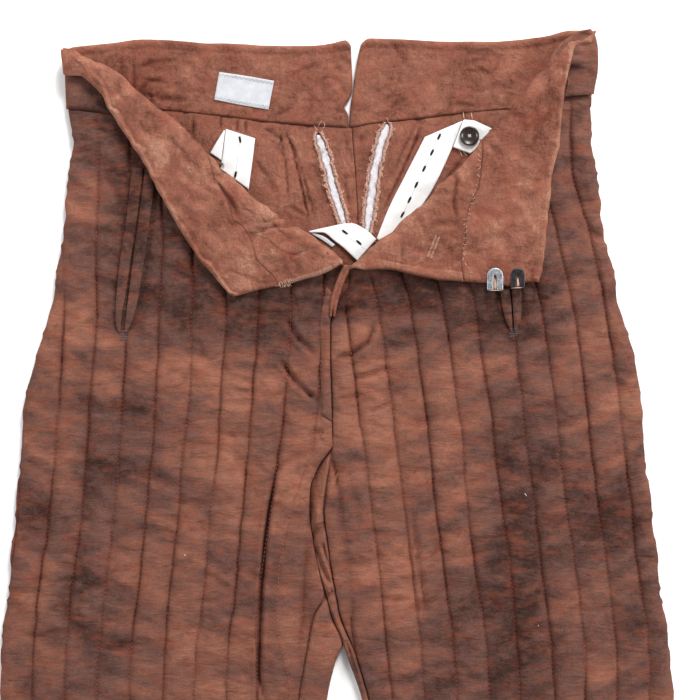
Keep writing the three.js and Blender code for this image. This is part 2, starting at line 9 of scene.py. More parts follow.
import bpy
import numpy as np
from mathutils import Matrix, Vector


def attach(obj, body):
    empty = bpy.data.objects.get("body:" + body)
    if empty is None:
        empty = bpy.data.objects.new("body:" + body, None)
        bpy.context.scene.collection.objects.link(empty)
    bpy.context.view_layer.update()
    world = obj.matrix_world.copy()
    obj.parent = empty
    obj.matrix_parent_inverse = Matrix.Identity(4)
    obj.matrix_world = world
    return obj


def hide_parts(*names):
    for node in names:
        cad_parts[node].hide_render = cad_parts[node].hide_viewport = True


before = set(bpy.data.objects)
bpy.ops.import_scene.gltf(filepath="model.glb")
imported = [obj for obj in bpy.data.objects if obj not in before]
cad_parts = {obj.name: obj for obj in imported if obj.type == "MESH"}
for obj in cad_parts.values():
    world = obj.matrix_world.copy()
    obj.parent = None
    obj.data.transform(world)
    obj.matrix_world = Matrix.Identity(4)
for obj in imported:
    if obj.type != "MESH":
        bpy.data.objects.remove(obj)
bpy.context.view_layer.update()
MM = 0.001
SIDES = ("left", "right")
INWARD = {"left": 1, "right": -1}    # the way to the middle along x

# ---- driving sizes ----
HEM = -510.0
WALL = 4.5               # padded wall of the back
GAP = 0.3                # air between pieces that lie on each other
INSIDE = WALL + GAP      # height of the front's plain inside
STITCHED = 3.2           # front wall at its stitching
CROWN = 3.0              # rise of a channel above it
PITCH = 29.3             # from one stitched line to the next
CHANNELS = 9
FOLD_WALL = 4.0          # wall of a turned-out corner
FOLD_RADIUS = 7.0
SETTLE = 3.2             # how far a flap sinks towards its free edge
SETTLE_RUN = 80.0
BAND_EXTRA = 0.8         # how much thicker a waistband is
SEAM = 0.14              # space between two pieces sewn together
EDGE_ROUND = 9.0         # how far in from a long edge the padding thins
RAISED = 9.8             # height of the back cloth wrapped round the inner leg
LAID = WALL + GAP        # where small parts lie on the back's lining
TRIM = 1.2               # tapes
CROTCH = 134.0           # height where the legs part
THIGH = -112.0           # below it the rows of points are further apart
QUILT_SEED = {"left": 81, "right": 87}
NAP_SEED = {"left": 91, "right": 95}


def table(columns, rows):
    """A table with named columns, each an array."""
    return dict(zip(columns.split(), np.array(rows, float).T))


# Half outlines by height: the side seam, the middle edge and the inseam of each half.
SECTIONS = table("y side_left side_right edge_left edge_right seam_left seam_right", [
    (-510, -287, 312, -57, 82, -81, 90), (-300, -302, 309, -37, 50, -62, 58),
    (-95, -311, 297, -16, 15, -42, 22), (-60, -310, 293, -8, 3, -36, 11),
    (-45, -309, 291, -2, -2, -33, 6), (-20, -307, 289, -12, -12, -28, -4),
    (0, -304, 285, -17, -17, -19, -8), (20, -302, 283, -23, -23, -23, -12),
    (50, -300, 280, -29, -29, -29, -16), (76, -298, 278, -32, -32, -32, -19),
    (96, -296, 275, -31, -31, -31, -17), (116, -294, 272, -23, -23, -23, -14),
    (127, -293, 271, -15.5, -15.5, -15.5, -12.5), (134, -292, 270, -11, -11, -11, -11),
    (172, -288, 266, -5, -5, -12, -12), (208, -280, 262, 2, 2, -13, -13),
    (240, -271, 254, 6, 6, -13, -13), (262, -265, 247, 8, 8, -11, -8),
    (282, -260, 243, 9, 9, -6, 4), (330, -254, 233, 12, 12, 6, 4),
    (372, -250, 228, 10, 10, 7, 1), (410, -246, 223, 7, 7, -2, -3),
    (440, -251, 222, 5, 5, -2, -5)])
# Where the first stitched line of each front runs.
GRAIN = table("y left right", [
    (-510, -257, 283), (-95, -282, 276), (85, -266, 257), (220, -256, 241),
    (266, -254, 234), (336, -253, 217), (393, -253, 204), (440, -253, 203)])
# Waistband seam and waist of the fronts in the flat pattern, and the line each corner turns over on.
FRONT_SEAM = {
    "left": table("x y", [(-251, 437), (-210, 432), (-165, 414), (-120, 396), (-80, 382),
                          (-40, 368), (8, 361)]),
    "right": table("x y", [(-4, 392), (28, 387), (70, 394), (118, 408), (155, 424),
                           (190, 445), (222, 450)])}
FRONT_WAIST = {
    "left": table("x y", [(-253, 493), (-200, 486), (-157, 473.5), (-110, 452), (-56, 427.5),
                          (0, 397)]),
    "right": table("x y", [(3, 458), (46, 465), (88, 473), (119, 483), (161, 493),
                           (190, 504), (225, 508)])}
FOLD_ENDS = {"left": ((-251, 492), (1, 295.5)), "right": ((221.5, 505.5), (8, 298))}
# How far a fold bows outwards along its length.
FOLD_BOW = {
    "left": table("a b", [(-40, 0), (0, 0), (40, 8), (90, 8), (160, 2), (250, -3), (290, 3),
                          (320, 0), (360, 0)]),
    "right": table("a b", [(-40, 0), (0, 0), (25, 9), (64, 6), (105, 1), (175, -5),
                           (230, -6), (303, 0), (360, 0)])}
# Waistband seam and waist of the back, the notch between its halves, and the two torn rips.
BACK_SEAM = table("x y", [(-252, 438), (-162, 436), (-110, 431), (-61, 425), (5, 421),
                          (22, 424), (68, 429), (140, 437), (222, 440)])
BACK_WAIST = table("x y", [(-254, 493), (-216, 497), (-182, 501), (-130, 498), (-32, 495),
                           (18, 502), (92, 499), (134, 499), (182, 504), (205, 509), (224, 509)])
NOTCH = table("up left right", [(0, 3.3, 3.6), (9, 3.5, 4.1), (13, 2.6, 4.5), (19.5, -0.4, 4.9),
                                (25, 3, 5.6), (31, 6, 6.6), (40, 7, 7.6), (62, 6, 11), (76, 5.5, 14)])
RIPS = {
    "left": table("x y", [(-24, 414), (-17, 391), (-12, 371), (-6.5, 352), (-1, 334), (1, 322)]),
    "right": table("x y", [(38, 423), (33, 408), (27, 384), (24, 360), (20, 330), (18, 318)])}
RIP_HALF = 3.9
POCKETS = {
    "left": {"top": (-180, 374), "foot": (-197, 240), "welt": 10.5},
    "right": {"top": (141, 374), "foot": (150, 240), "welt": 9.0}}


# ---- arithmetic on whole arrays ----
def outline(name, side, y):
    """x of one of the sections' lines at heights y, counted positive towards the middle."""
    return INWARD[side] * curve(SECTIONS["y"], SECTIONS[f"{name}_{side}"], y)


def hump(off, width):
    """A bell curve: 1 at no distance, falling to about a third at the width."""
    return np.exp(-((off / width) ** 2))


def blot(x, y, centre, half):
    """A bell curve about a centre, with a half width along x and another along y."""
    return np.exp(-(((x - centre[0]) / half[0]) ** 2 + ((y - centre[1]) / half[1]) ** 2))


def ease(low, high, v):
    """0 below low, 1 above high and a smooth S between them."""
    t = np.clip((v - low) / (high - low), 0, 1)
    return t * t * (3 - 2 * t)


def curve(xs, ys, at):
    """A curve through a table's points without overshoot: cubic pieces whose slope at a point is
    the harmonic mean of the slopes beside it, and level at a peak."""
    xs, ys = np.asarray(xs, float), np.asarray(ys, float)
    step = np.diff(xs)
    rise = np.diff(ys) / step
    both = rise[:-1] * rise[1:]
    safe = np.where(both > 0, rise[:-1] + rise[1:], 1)
    inner = np.where(both > 0, 2 * both / safe, 0)
    slope = np.concatenate([[rise[0]], inner, [rise[-1]]])
    i = np.clip(np.searchsorted(xs, at) - 1, 0, len(xs) - 2)
    t = (at - xs[i]) / step[i]
    t = np.clip(t, -0.5, 1.5)
    a, b = ys[i], ys[i + 1]
    p, q = slope[i] * step[i], slope[i + 1] * step[i]
    return a + t * (p + t * (3 * (b - a) - 2 * p - q + t * (2 * (a - b) + p + q)))


LATTICES = {}


def noise(x, y, seed):
    """Smooth noise from -1 to 1: seeded random values on a unit lattice, eased between."""
    if seed not in LATTICES:
        LATTICES[seed] = np.random.default_rng(seed).uniform(-1, 1, (256, 256))
    grid = LATTICES[seed]
    x, y = np.broadcast_arrays(x + seed * 7.31, y + seed * 3.77)
    xi, yi = np.floor(x), np.floor(y)
    u, v = x - xi, y - yi
    u, v = u * u * (3 - 2 * u), v * v * (3 - 2 * v)
    i, j = xi.astype(int) % 255, yi.astype(int) % 255
    low = grid[i, j] * (1 - u) + grid[i + 1, j] * u
    high = grid[i, j + 1] * (1 - u) + grid[i + 1, j + 1] * u
    return low * (1 - v) + high * v


def layered(x, y, seed, octaves=3):
    """Noise with finer noise of half the size and half the strength added to it."""
    total = sum(noise(x * 2 ** k, y * 2 ** k, seed + k) * 0.5 ** k for k in range(octaves))
    return total / 1.5


def wrinkles(x, y, sx, sy, seed):
    """Scattered short creases, 0 to 1: narrow lines where warped noise crosses zero, broken up
    by slower noise."""
    warp = 0.9 * noise(x / (2.3 * sx), y / (2.3 * sy), seed + 5)
    line = noise(x / sx + warp, y / sy - warp, seed) / 0.16
    return np.exp(-line * line) * ease(-0.25, 0.45, noise(x / (1.7 * sx), y / (1.7 * sy), seed + 9))


def off_path(x, y, path):
    """Distance to a path of straight segments, and how far along it the nearest point is."""
    path = np.asarray(path, float)
    lengths = np.hypot(*np.diff(path, axis=0).T)
    nearest = np.full(np.broadcast(x, y).shape, 1e9)
    along = np.zeros(nearest.shape)
    done = 0.0
    for (x0, y0), (x1, y1), length in zip(path[:-1], path[1:], lengths):
        t = np.clip(((x - x0) * (x1 - x0) + (y - y0) * (y1 - y0)) / length ** 2, 0, 1)
        off = np.hypot(x - x0 - t * (x1 - x0), y - y0 - t * (y1 - y0))
        along = np.where(off < nearest, (done + t * length) / lengths.sum(), along)
        nearest = np.minimum(nearest, off)
        done += length
    return nearest, along


def creased(x, y, creases):
    """Height added by the listed creases, each (depth, half width, point, point, ...): a soft
    trough along a path with a lip on both sides, fading out at its ends. A negative depth is a
    ridge."""
    total = np.zeros(np.broadcast(x, y).shape)
    for depth, width, *path in creases:
        off, t = off_path(x, y, path)
        ends = np.clip(4 * t * (1 - t) * 1.6, 0, 1) ** 0.7
        q = off / width
        total -= depth * ends * (np.exp(-q * q) - 0.3 * np.exp(-((q - 2.1) ** 2)))
    return total


# ---- meshes ----
def new_mesh(name, points, faces, materials, face_material=None, attributes=None, smooth=True):
    """A mesh object from arrays of points in millimetres and of faces with 3 or 4 corners."""
    mesh = bpy.data.meshes.new(name)
    points = np.asarray(points, float) * MM
    faces = np.asarray(faces, np.int32)
    corners = faces.shape[1]
    mesh.vertices.add(len(points))
    mesh.vertices.foreach_set("co", points.ravel())
    mesh.loops.add(faces.size)
    mesh.loops.foreach_set("vertex_index", faces.ravel())
    mesh.polygons.add(len(faces))
    mesh.polygons.foreach_set("loop_start", np.arange(0, faces.size, corners, dtype=np.int32))
    for material in materials:
        mesh.materials.append(material)
    if face_material is not None:
        mesh.polygons.foreach_set("material_index", np.asarray(face_material, np.int32))
    mesh.polygons.foreach_set("use_smooth", np.full(len(faces), smooth))
    for key, values in (attributes or {}).items():
        layer = mesh.attributes.new(key, "FLOAT", "POINT")
        layer.data.foreach_set("value", np.asarray(values, np.float32).ravel())
    mesh.update(calc_edges=True)
    mesh.validate()
    piece = bpy.data.objects.new(name, mesh)
    bpy.context.scene.collection.objects.link(piece)
    return piece


def quads(rows, cols, start=0):
    """Faces of a grid whose points are numbered row by row."""
    first = (np.arange(rows - 1)[:, None] * cols + np.arange(cols - 1)[None, :]).ravel() + start
    return np.stack([first, first + 1, first + cols + 1, first + cols], 1)


def signed_volume(points, faces):
    """Volume inside a closed surface, negative where its faces point inwards."""
    a, b, c = (points[faces[:, k]] for k in range(3))
    total = np.einsum("ij,ij->i", a, np.cross(b, c)).sum()
    if faces.shape[1] == 4:
        d = points[faces[:, 3]]
        total += np.einsum("ij,ij->i", a, np.cross(c, d)).sum()
    return total / 6


def rim_quads(ids, count):
    """Quads joining the border of a block of the outer grid to the lining grid under it."""
    rim = np.concatenate([ids[0, :-1], ids[:-1, -1], ids[-1, :0:-1], ids[:0:-1, 0]])
    after = np.roll(rim, -1)
    return np.stack([rim, rim + count, after + count, after], 1)


def shell(name, outer, lining, materials, attributes=None, hole=None, painted=None):
    """A closed shell: the outer grid, the lining grid turned round, and quads round the rim.
    The first material is on the outer surface and the last on the rest. hole is a block of rows
    and columns cut right through, and painted says which outer cells take the last material."""
    rows, cols = outer.shape[:2]
    count = rows * cols
    ids = np.arange(count).reshape(rows, cols)
    over = quads(rows, cols)
    under = quads(rows, cols, count)[:, ::-1]
    sides = rim_quads(ids, count)
    keep = np.ones((rows - 1, cols - 1), bool)
    which = np.zeros((rows - 1, cols - 1), int) if painted is None else painted.astype(int)
    if hole:
        r0, r1, c0, c1 = hole
        keep[r0:r1, c0:c1] = False
        sides = np.concatenate([sides, rim_quads(ids[r0:r1 + 1, c0:c1 + 1], count)[:, ::-1]])
    keep = keep.ravel()
    over, under = over[keep], under[keep]
    faces = np.concatenate([over, under, sides])
    points = np.concatenate([outer.reshape(-1, 3), lining.reshape(-1, 3)])
    if signed_volume(points, faces) < 0:
        faces = faces[:, ::-1]
    last = len(materials) - 1
    which = np.concatenate([which.ravel()[keep] * last, np.full(len(under) + len(sides), last)])
    doubled = {key: np.concatenate([np.ravel(over), np.ravel(under)])
               for key, (over, under) in (attributes or {}).items()}
    return new_mesh(name, points, faces, materials, which, doubled)


def panel(name, outer, lining, materials, dye_and_shade, stitch_and_shade, hole=None, painted=None):
    """A shell from grids held column by column. The two attribute arrays, of colour with painted shadow
    and of stitching with painted shade, are each given for the outer surface and for the lining."""
    attributes = {"dye_and_shade": [v.T for v in dye_and_shade], "stitch_and_shade": [v.T for v in stitch_and_shade]}
    return shell(name, outer.swapaxes(0, 1), lining.swapaxes(0, 1), materials, attributes, hole, painted)


def stacked(x, y, z):
    """Points from three arrays that fit each other in shape."""
    return np.stack(np.broadcast_arrays(x, y, z), -1)


def run_along(points):
    """Length along a path of points, from 0 at its start."""
    return np.concatenate([[0], np.cumsum(np.linalg.norm(np.diff(points, axis=0), axis=1))])


def along_path(path, count):
    """Points evenly spaced along a smooth path, with its unit direction at each."""
    path = np.asarray(path, float)
    run = run_along(path)
    at = np.linspace(0, run[-1], count)
    points = np.stack([curve(run, path[:, k], at) for k in range(path.shape[1])], 1)
    way = np.gradient(points, axis=0)
    return points, way / np.linalg.norm(way, axis=1)[:, None]


def closed_rings(sides, rings):
    """Faces of a closed stack of rings: quads from ring to ring, and quads across both ends."""
    j = np.arange(sides)
    after = (j + 1) % sides
    base = np.arange(rings - 1)[:, None] * sides
    strip = np.stack([base + j, base + after, base + sides + after, base + sides + j], -1)
    last = (rings - 1) * sides
    caps = [[[0, k + 2, k + 1, k], [last, last + k, last + k + 1, last + k + 2]]
            for k in range(1, sides - 1, 2)]
    return np.concatenate([strip.reshape(-1, 4), np.array(caps).reshape(-1, 4)])


def tubes(name, lines, radius, material, sides=6):
    """Closed round threads: lines is (threads, points, 3); a ring round each point, square to the
    thread, joined along it, with the last ring at each end drawn in to close it."""
    lines = np.asarray(lines, float)
    count, steps = lines.shape[:2]
    way = np.gradient(lines, axis=1)
    way /= np.linalg.norm(way, axis=2)[..., None] + 1e-9
    up = np.zeros_like(way)
    up[..., 2] = 1
    up[np.abs(way[..., 2]) > 0.9] = (1, 0, 0)
    across = np.cross(way, up)
    across /= np.linalg.norm(across, axis=2)[..., None]
    up = np.cross(across, way)
    angle = np.arange(sides) * 2 * np.pi / sides
    size = np.full(steps, float(radius))
    size[[0, -1]] *= 0.35
    ring = across[:, :, None] * np.cos(angle)[:, None] + up[:, :, None] * np.sin(angle)[:, None]
    points = lines[:, :, None] + ring * size[:, None, None]
    one = closed_rings(sides, steps)
    faces = (one[None] + (np.arange(count) * steps * sides)[:, None, None]).reshape(-1, 4)
    points = points.reshape(-1, 3)
    if signed_volume(points, faces) < 0:
        faces = faces[:, ::-1]
    return new_mesh(name, points, faces, [material])


def stitch_lines(points, length, gap, sink=0.0):
    """Short threads one after another along a path of close points: each bows up in its middle."""
    points = np.asarray(points, float)
    run = run_along(points)
    starts = np.arange(0, run[-1] - length, length + gap)
    at = starts[:, None] + np.linspace(0, length, 3)[None]
    lines = np.stack([np.interp(at, run, points[:, k]) for k in range(3)], -1)
    lines[..., 2] += np.array([-0.3, 0.2, -0.3]) - sink
    return lines


# ---- the fold of a front corner ----
class Fold:
    """The line that a corner turns over on: lengths along it and beyond it in the flat pattern."""

    def __init__(self, side):
        (ax, ay), (bx, by) = FOLD_ENDS[side]
        length = math.hypot(bx - ax, by - ay)
        self.start = (ax, ay)
        self.way = ((bx - ax) / length, (by - ay) / length)
        turn = 1 if bx > ax else -1
        self.out = (-self.way[1] * turn, self.way[0] * turn)
        self.bow_table = FOLD_BOW[side]
        self.seed = 31 if side == "left" else 47

    def rough(self, a):
        """The small waves of the fold: slow noise, and the channels that it crosses."""
        small = noise(a / 13, 0.5, self.seed) * 0.9 + noise(a / 37, 3.5, self.seed) * 1.3
        return small + 1.8 * np.abs(np.sin(np.pi * (a * self.way[0] / PITCH + 0.2))) ** 0.7 - 1.2

    def bow(self, a):
        """How far the fold stands out from a straight line at a length along it."""
        return curve(self.bow_table["a"], self.bow_table["b"], a) + self.rough(a)

    def split(self, x, y):
        """Length along the fold, the line's bow there, and the distance beyond the line."""
        dx, dy = x - self.start[0], y - self.start[1]
        a = dx * self.way[0] + dy * self.way[1]
        bow = self.bow(a)
        return a, bow, dx * self.out[0] + dy * self.out[1] - bow

    def place(self, x, y, w):
        """Where a pattern point w above its lining lies: level before the fold, round a half
        circle at it, and mirrored beyond it, sinking towards the free edge."""
        a, bow, d = self.split(x, y)
        turned = np.clip(d / FOLD_RADIUS, -1, 1) * np.pi / 2
        over = d >= FOLD_RADIUS
        bent = np.abs(d) < FOLD_RADIUS
        reach = FOLD_RADIUS - w
        b = np.where(over, bow - d, bow + d)
        b = np.where(bent, bow - FOLD_RADIUS + reach * np.cos(turned), b)
        z = np.where(bent, INSIDE + FOLD_RADIUS + reach * np.sin(turned),
                     np.where(over, flap_top(d) - w, INSIDE + w))
        return stacked(self.start[0] + a * self.way[0] + b * self.out[0],
                       self.start[1] + a * self.way[1] + b * self.out[1], z)


def flap_top(d):
    """Height of a flap's lining at a distance past the fold: it settles in a smooth S."""
    return INSIDE + 2 * FOLD_RADIUS - SETTLE * ease(FOLD_RADIUS, SETTLE_RUN, d)


FOLDS = {side: Fold(side) for side in SIDES}


# ---- materials ----
DIMMED = 0.78            # share of a colour's light that a surface keeps under the bright lamps


def srgb(r, g, b):
    """A colour from 0..255 screen values, as linear light, dimmed to suit the lamps."""
    c = np.array([r, g, b]) / 255
    return (*(DIMMED * np.where(c <= 0.04045, c / 12.92, ((c + 0.055) / 1.055) ** 2.4)), 1.0)


class Finish:
    """A node material put together by short calls. Sockets are passed from call to call."""

    def __init__(self, name, roughness, metallic=0.0, specular=0.5, coat=0.0):
        self.material = bpy.data.materials.new(name)
        self.material.use_nodes = True
        self.nodes = self.material.node_tree.nodes
        self.links = self.material.node_tree.links
        self.shader = self.nodes["Principled BSDF"]
        for socket, value in (("Roughness", roughness), ("Metallic", metallic),
                              ("Specular IOR Level", specular), ("Coat Weight", coat)):
            self.shader.inputs[socket].default_value = value
        self.place = self.nodes.new("ShaderNodeTexCoord").outputs["Object"]

    def join(self, value, socket):
        """Links a socket to a socket, or sets a constant on it."""
        if isinstance(value, bpy.types.NodeSocket):
            self.links.new(value, socket)
        else:
            socket.default_value = value

    def attribute(self, name):
        """A value that the mesh carries at its points."""
        node = self.nodes.new("ShaderNodeAttribute")
        node.attribute_name = name
        return node.outputs["Fac"]

    def stretched(self, scale, turn=0.0):
        """The piece's own coordinates, scaled and turned about the upright axis."""
        node = self.nodes.new("ShaderNodeMapping")
        node.inputs["Scale"].default_value = scale
        node.inputs["Rotation"].default_value = (0, 0, turn)
        self.links.new(self.place, node.inputs["Vector"])
        return node.outputs["Vector"]

    def grain(self, size_mm, detail=3.0, rough=0.55, where=None, distort=0.0):
        """Noise from 0 to 1 with features of a size in millimetres."""
        node = self.nodes.new("ShaderNodeTexNoise")
        node.inputs["Scale"].default_value = 1000.0 / size_mm
        node.inputs["Detail"].default_value = detail
        node.inputs["Roughness"].default_value = rough
        node.inputs["Distortion"].default_value = distort
        self.links.new(where or self.place, node.inputs["Vector"])
        return node.outputs["Fac"]

    def maths(self, kind, a, b=0.5, c=0.5):
        """One arithmetic step on sockets or constants."""
        node = self.nodes.new("ShaderNodeMath")
        node.operation = kind
        for value, socket in zip((a, b, c), node.inputs):
            self.join(value, socket)
        return node.outputs[0]

    def varied(self, value, grain, amount):
        """The value raised and lowered by a grain about the grain's middle."""
        return self.maths("MULTIPLY_ADD", self.maths("SUBTRACT", grain, 0.5), amount, value)

    def ramp(self, value, stops):
        """A colour picked by a value from stops of place and colour."""
        node = self.nodes.new("ShaderNodeValToRGB")
        marks = node.color_ramp.elements
        while len(marks) < len(stops):
            marks.new(0.5)
        for mark, (at, colour) in zip(marks, stops):
            mark.position = at
            mark.color = colour
        self.links.new(value, node.inputs["Fac"])
        return node.outputs["Color"]

    def spots(self, grain, low, high):
        """White where a grain is above a level and black where it is below another."""
        return self.ramp(grain, [(low, (0, 0, 0, 1)), (high, (1, 1, 1, 1))])

    def mix(self, share, a, b):
        """Colour a, or b by a share."""
        node = self.nodes.new("ShaderNodeMix")
        node.data_type = "RGBA"
        self.join(share, node.inputs[0])
        self.join(a, node.inputs[6])
        self.join(b, node.inputs[7])
        return node.outputs[2]

    def tinted(self, base, mask, share, colour):
        """The base with a colour laid over it, as strong as a share where the mask is 1."""
        return self.mix(self.maths("MULTIPLY", mask, share), base, colour)

    def bump(self, height, depth_mm, strength=1.0, under=None):
        """Relief from a height, on top of the relief under it."""
        node = self.nodes.new("ShaderNodeBump")
        node.inputs["Strength"].default_value = strength
        node.inputs["Distance"].default_value = depth_mm * MM
        self.links.new(height, node.inputs["Height"])
        if under is not None:
            self.links.new(under, node.inputs["Normal"])
        return node.outputs["Normal"]

    def done(self, colour, normal=None, rough=None):
        """Wires the colour, relief and roughness to the surface."""
        self.join(colour, self.shader.inputs["Base Color"])
        if normal is not None:
            self.links.new(normal, self.shader.inputs["Normal"])
        if rough is not None:
            self.links.new(rough, self.shader.inputs["Roughness"])
        return self.material


def outer_cloth():
    """Matt woven cotton, unevenly dyed: one attribute picks from brown-grey to rust and also carries
    painted shadow; streaks and flecks break it up. A second attribute makes the stitching darker and
    redder, partly its own colour and partly painted shade in valleys, creases, wrinkles and edges."""
    f = Finish("mottled_dyed_cotton", roughness=0.94, specular=0.12)
    streaks = f.grain(22, 5, 0.65, f.stretched((0.8, 1.4, 1.0), 0.2), 0.6)
    blots = f.grain(6, 4, 0.72, None, 0.5)
    specks = f.grain(1.3, 3, 0.8)
    dye_and_shade = f.varied(f.attribute("dye_and_shade"), streaks, 0.8)
    dye_and_shade = f.varied(dye_and_shade, blots, 0.58)
    dye_and_shade = f.varied(dye_and_shade, specks, 0.8)
    base = f.ramp(dye_and_shade, [(0.0, srgb(60, 39, 33)), (0.22, srgb(88, 61, 54)), (0.45, srgb(112, 78, 69)),
                        (0.7, srgb(138, 90, 74)), (1.0, srgb(165, 108, 87))])
    red = f.spots(f.grain(15, 4, 0.7, f.stretched((0.7, 1.7, 1.0), 0.3)), 0.48, 0.7)
    base = f.tinted(base, red, 0.55, srgb(152, 80, 58))
    ash = f.spots(f.grain(12, 4, 0.7), 0.48, 0.68)
    base = f.tinted(base, ash, 0.4, srgb(100, 78, 73))
    # Painted shade: the stitching attribute darkens valleys, creases, wrinkles and edges, and past 1 it
    # turns the colour near black as painted shadow.
    base = f.tinted(base, f.attribute("stitch_and_shade"), 0.6, srgb(92, 44, 33))
    deep = f.maths("SUBTRACT", f.attribute("stitch_and_shade"), 1.0)
    base = f.mix(f.maths("MINIMUM", f.maths("MAXIMUM", deep, 0.0), 0.9), base, srgb(26, 14, 12))
    fine = f.grain(0.75, 2, 0.6, f.stretched((1.0, 0.5, 1.0)))
    base = f.tinted(base, fine, 0.3, srgb(52, 30, 25))
    bumps = f.bump(f.grain(0.9, 3, 0.7), 0.5, 0.6)
    bumps = f.bump(f.grain(6, 4, 0.65, f.stretched((0.7, 1.5, 1.0))), 1.4, 0.6, bumps)
    bumps = f.bump(f.grain(17, 4, 0.6, f.stretched((0.6, 1.8, 1.0), 0.25), 0.5), 3.2, 0.6, bumps)
    return f.done(base, bumps)


def napped_lining():
    """Soft napped cotton: warm brown, brushed lighter in clouds and along worn edges. Its tone attribute
    also carries painted shade, and the stitching attribute darkens it as painted shade in creases,
    hollows and seams.
    """
    f = Finish("napped_cotton", roughness=0.96, specular=0.1)
    clouds = f.grain(30, 5, 0.62, distort=0.8)
    nap = f.grain(4.2, 4, 0.75, f.stretched((1.3, 0.7, 1.0), 0.5), 0.8)
    tufts = f.grain(9.0, 3, 0.7, f.stretched((0.8, 1.3, 1.0), 0.8), 0.6)
    specks = f.grain(1.5, 3, 0.7)
    tone = f.varied(f.attribute("dye_and_shade"), clouds, 1.25)
    tone = f.varied(tone, nap, 1.1)
    tone = f.varied(tone, tufts, 0.8)
    tone = f.varied(tone, specks, 0.6)
    base = f.ramp(tone, [(0.0, srgb(104, 60, 47)), (0.3, srgb(134, 85, 69)), (0.55, srgb(151, 98, 80)),
                         (0.8, srgb(166, 113, 92)), (1.0, srgb(184, 134, 111))])
    base = f.tinted(base, f.spots(f.grain(22, 4, 0.65), 0.46, 0.64), 0.4, srgb(158, 88, 70))
    # Painted shade in creases, hollows and seams, from the stitching attribute.
    base = f.tinted(base, f.attribute("stitch_and_shade"), 0.66, srgb(78, 38, 28))
    fuzz = f.grain(0.7, 2, 0.7)
    base = f.tinted(base, fuzz, 0.24, srgb(80, 42, 32))
    bumps = f.bump(fuzz, 0.5, 0.6)
    bumps = f.bump(nap, 1.6, 0.7, bumps)
    bumps = f.bump(tufts, 2.4, 0.6, bumps)
    return f.done(base, bumps)


def plain_cotton(name, dark, light, size=6.0):
    """Close flat cotton in one colour with slight unevenness."""
    f = Finish(name, roughness=0.9, specular=0.2)
    tone = f.ramp(f.grain(size, 4, 0.65), [(0.3, dark), (0.7, light)])
    return f.done(tone, f.bump(f.grain(0.7, 2, 0.6), 0.3, 0.5))


def elastic_weave():
    """White woven elastic: fine ribs along the strap, slightly greyed in places."""
    f = Finish("white_elastic", roughness=0.75, specular=0.3)
    across = f.attribute("across")
    ribs = f.maths("SINE", f.maths("MULTIPLY", across, 2 * math.pi / 1.1))
    tone = f.ramp(f.grain(12, 3, 0.6), [(0.25, srgb(226, 224, 222)), (0.7, srgb(247, 246, 245))])
    tone = f.tinted(tone, f.attribute("stitch_and_shade"), 0.35, srgb(150, 150, 152))
    picks = f.grain(0.8, 2, 0.5)
    return f.done(tone, f.bump(picks, 0.15, 0.4, f.bump(ribs, 0.1, 0.35)))


def dark_button():
    """Polished near-black horn with browner streaks."""
    f = Finish("dark_button", roughness=0.3, specular=0.5, coat=0.15)
    streaks = f.grain(5, 4, 0.6, f.stretched((1, 2.5, 1)))
    tone = f.ramp(streaks, [(0.35, srgb(26, 17, 14)), (0.75, srgb(62, 40, 31))])
    return f.done(tone, f.bump(f.grain(1.2, 3, 0.6), 0.05, 0.4))


def metal(name, dark, light, roughness, metallic):
    """Sheet metal worn unevenly: one grain gives both its colour and its roughness."""
    f = Finish(name, roughness=roughness, metallic=metallic)
    wear = f.grain(2.2, 4, 0.7)
    tone = f.ramp(wear, [(0.35, dark), (0.7, light)])
    rough = f.maths("MULTIPLY_ADD", wear, 0.35, roughness - 0.15)
    return f.done(tone, f.bump(f.grain(0.9, 3, 0.6), 0.06, 0.5), rough)


CLOTH = outer_cloth()
LINING = napped_lining()
WADDING = plain_cotton("cotton_wadding", srgb(202, 196, 201), srgb(232, 228, 231), 3.0)
ELASTIC = elastic_weave()
TAPE = plain_cotton("white_tape", srgb(196, 198, 202), srgb(212, 214, 218), 8.0)
GREY_THREAD = plain_cotton("grey_thread", srgb(168, 166, 166), srgb(204, 203, 202), 2.0)
BLACK_THREAD = plain_cotton("black_thread", srgb(18, 18, 20), srgb(44, 43, 45), 1.0)
RUST_THREAD = plain_cotton("rust_thread", srgb(146, 72, 60), srgb(186, 106, 90), 1.5)
TACK_THREAD = plain_cotton("blue_grey_thread", srgb(78, 69, 70), srgb(114, 104, 107), 1.5)
PALE_THREAD = plain_cotton("pale_thread", srgb(196, 150, 128), srgb(228, 190, 168), 1.5)
RED_THREAD = plain_cotton("red_thread", srgb(168, 48, 40), srgb(196, 70, 58), 1.5)
FRAYED = plain_cotton("frayed_cotton", srgb(132, 78, 70), srgb(206, 170, 152), 1.7)
BUTTON = dark_button()
STEEL = metal("worn_steel", srgb(122, 126, 132), srgb(206, 210, 215), 0.42, 0.7)
BLACK_METAL = metal("black_japan", srgb(14, 14, 16), srgb(52, 52, 56), 0.42, 0.35)
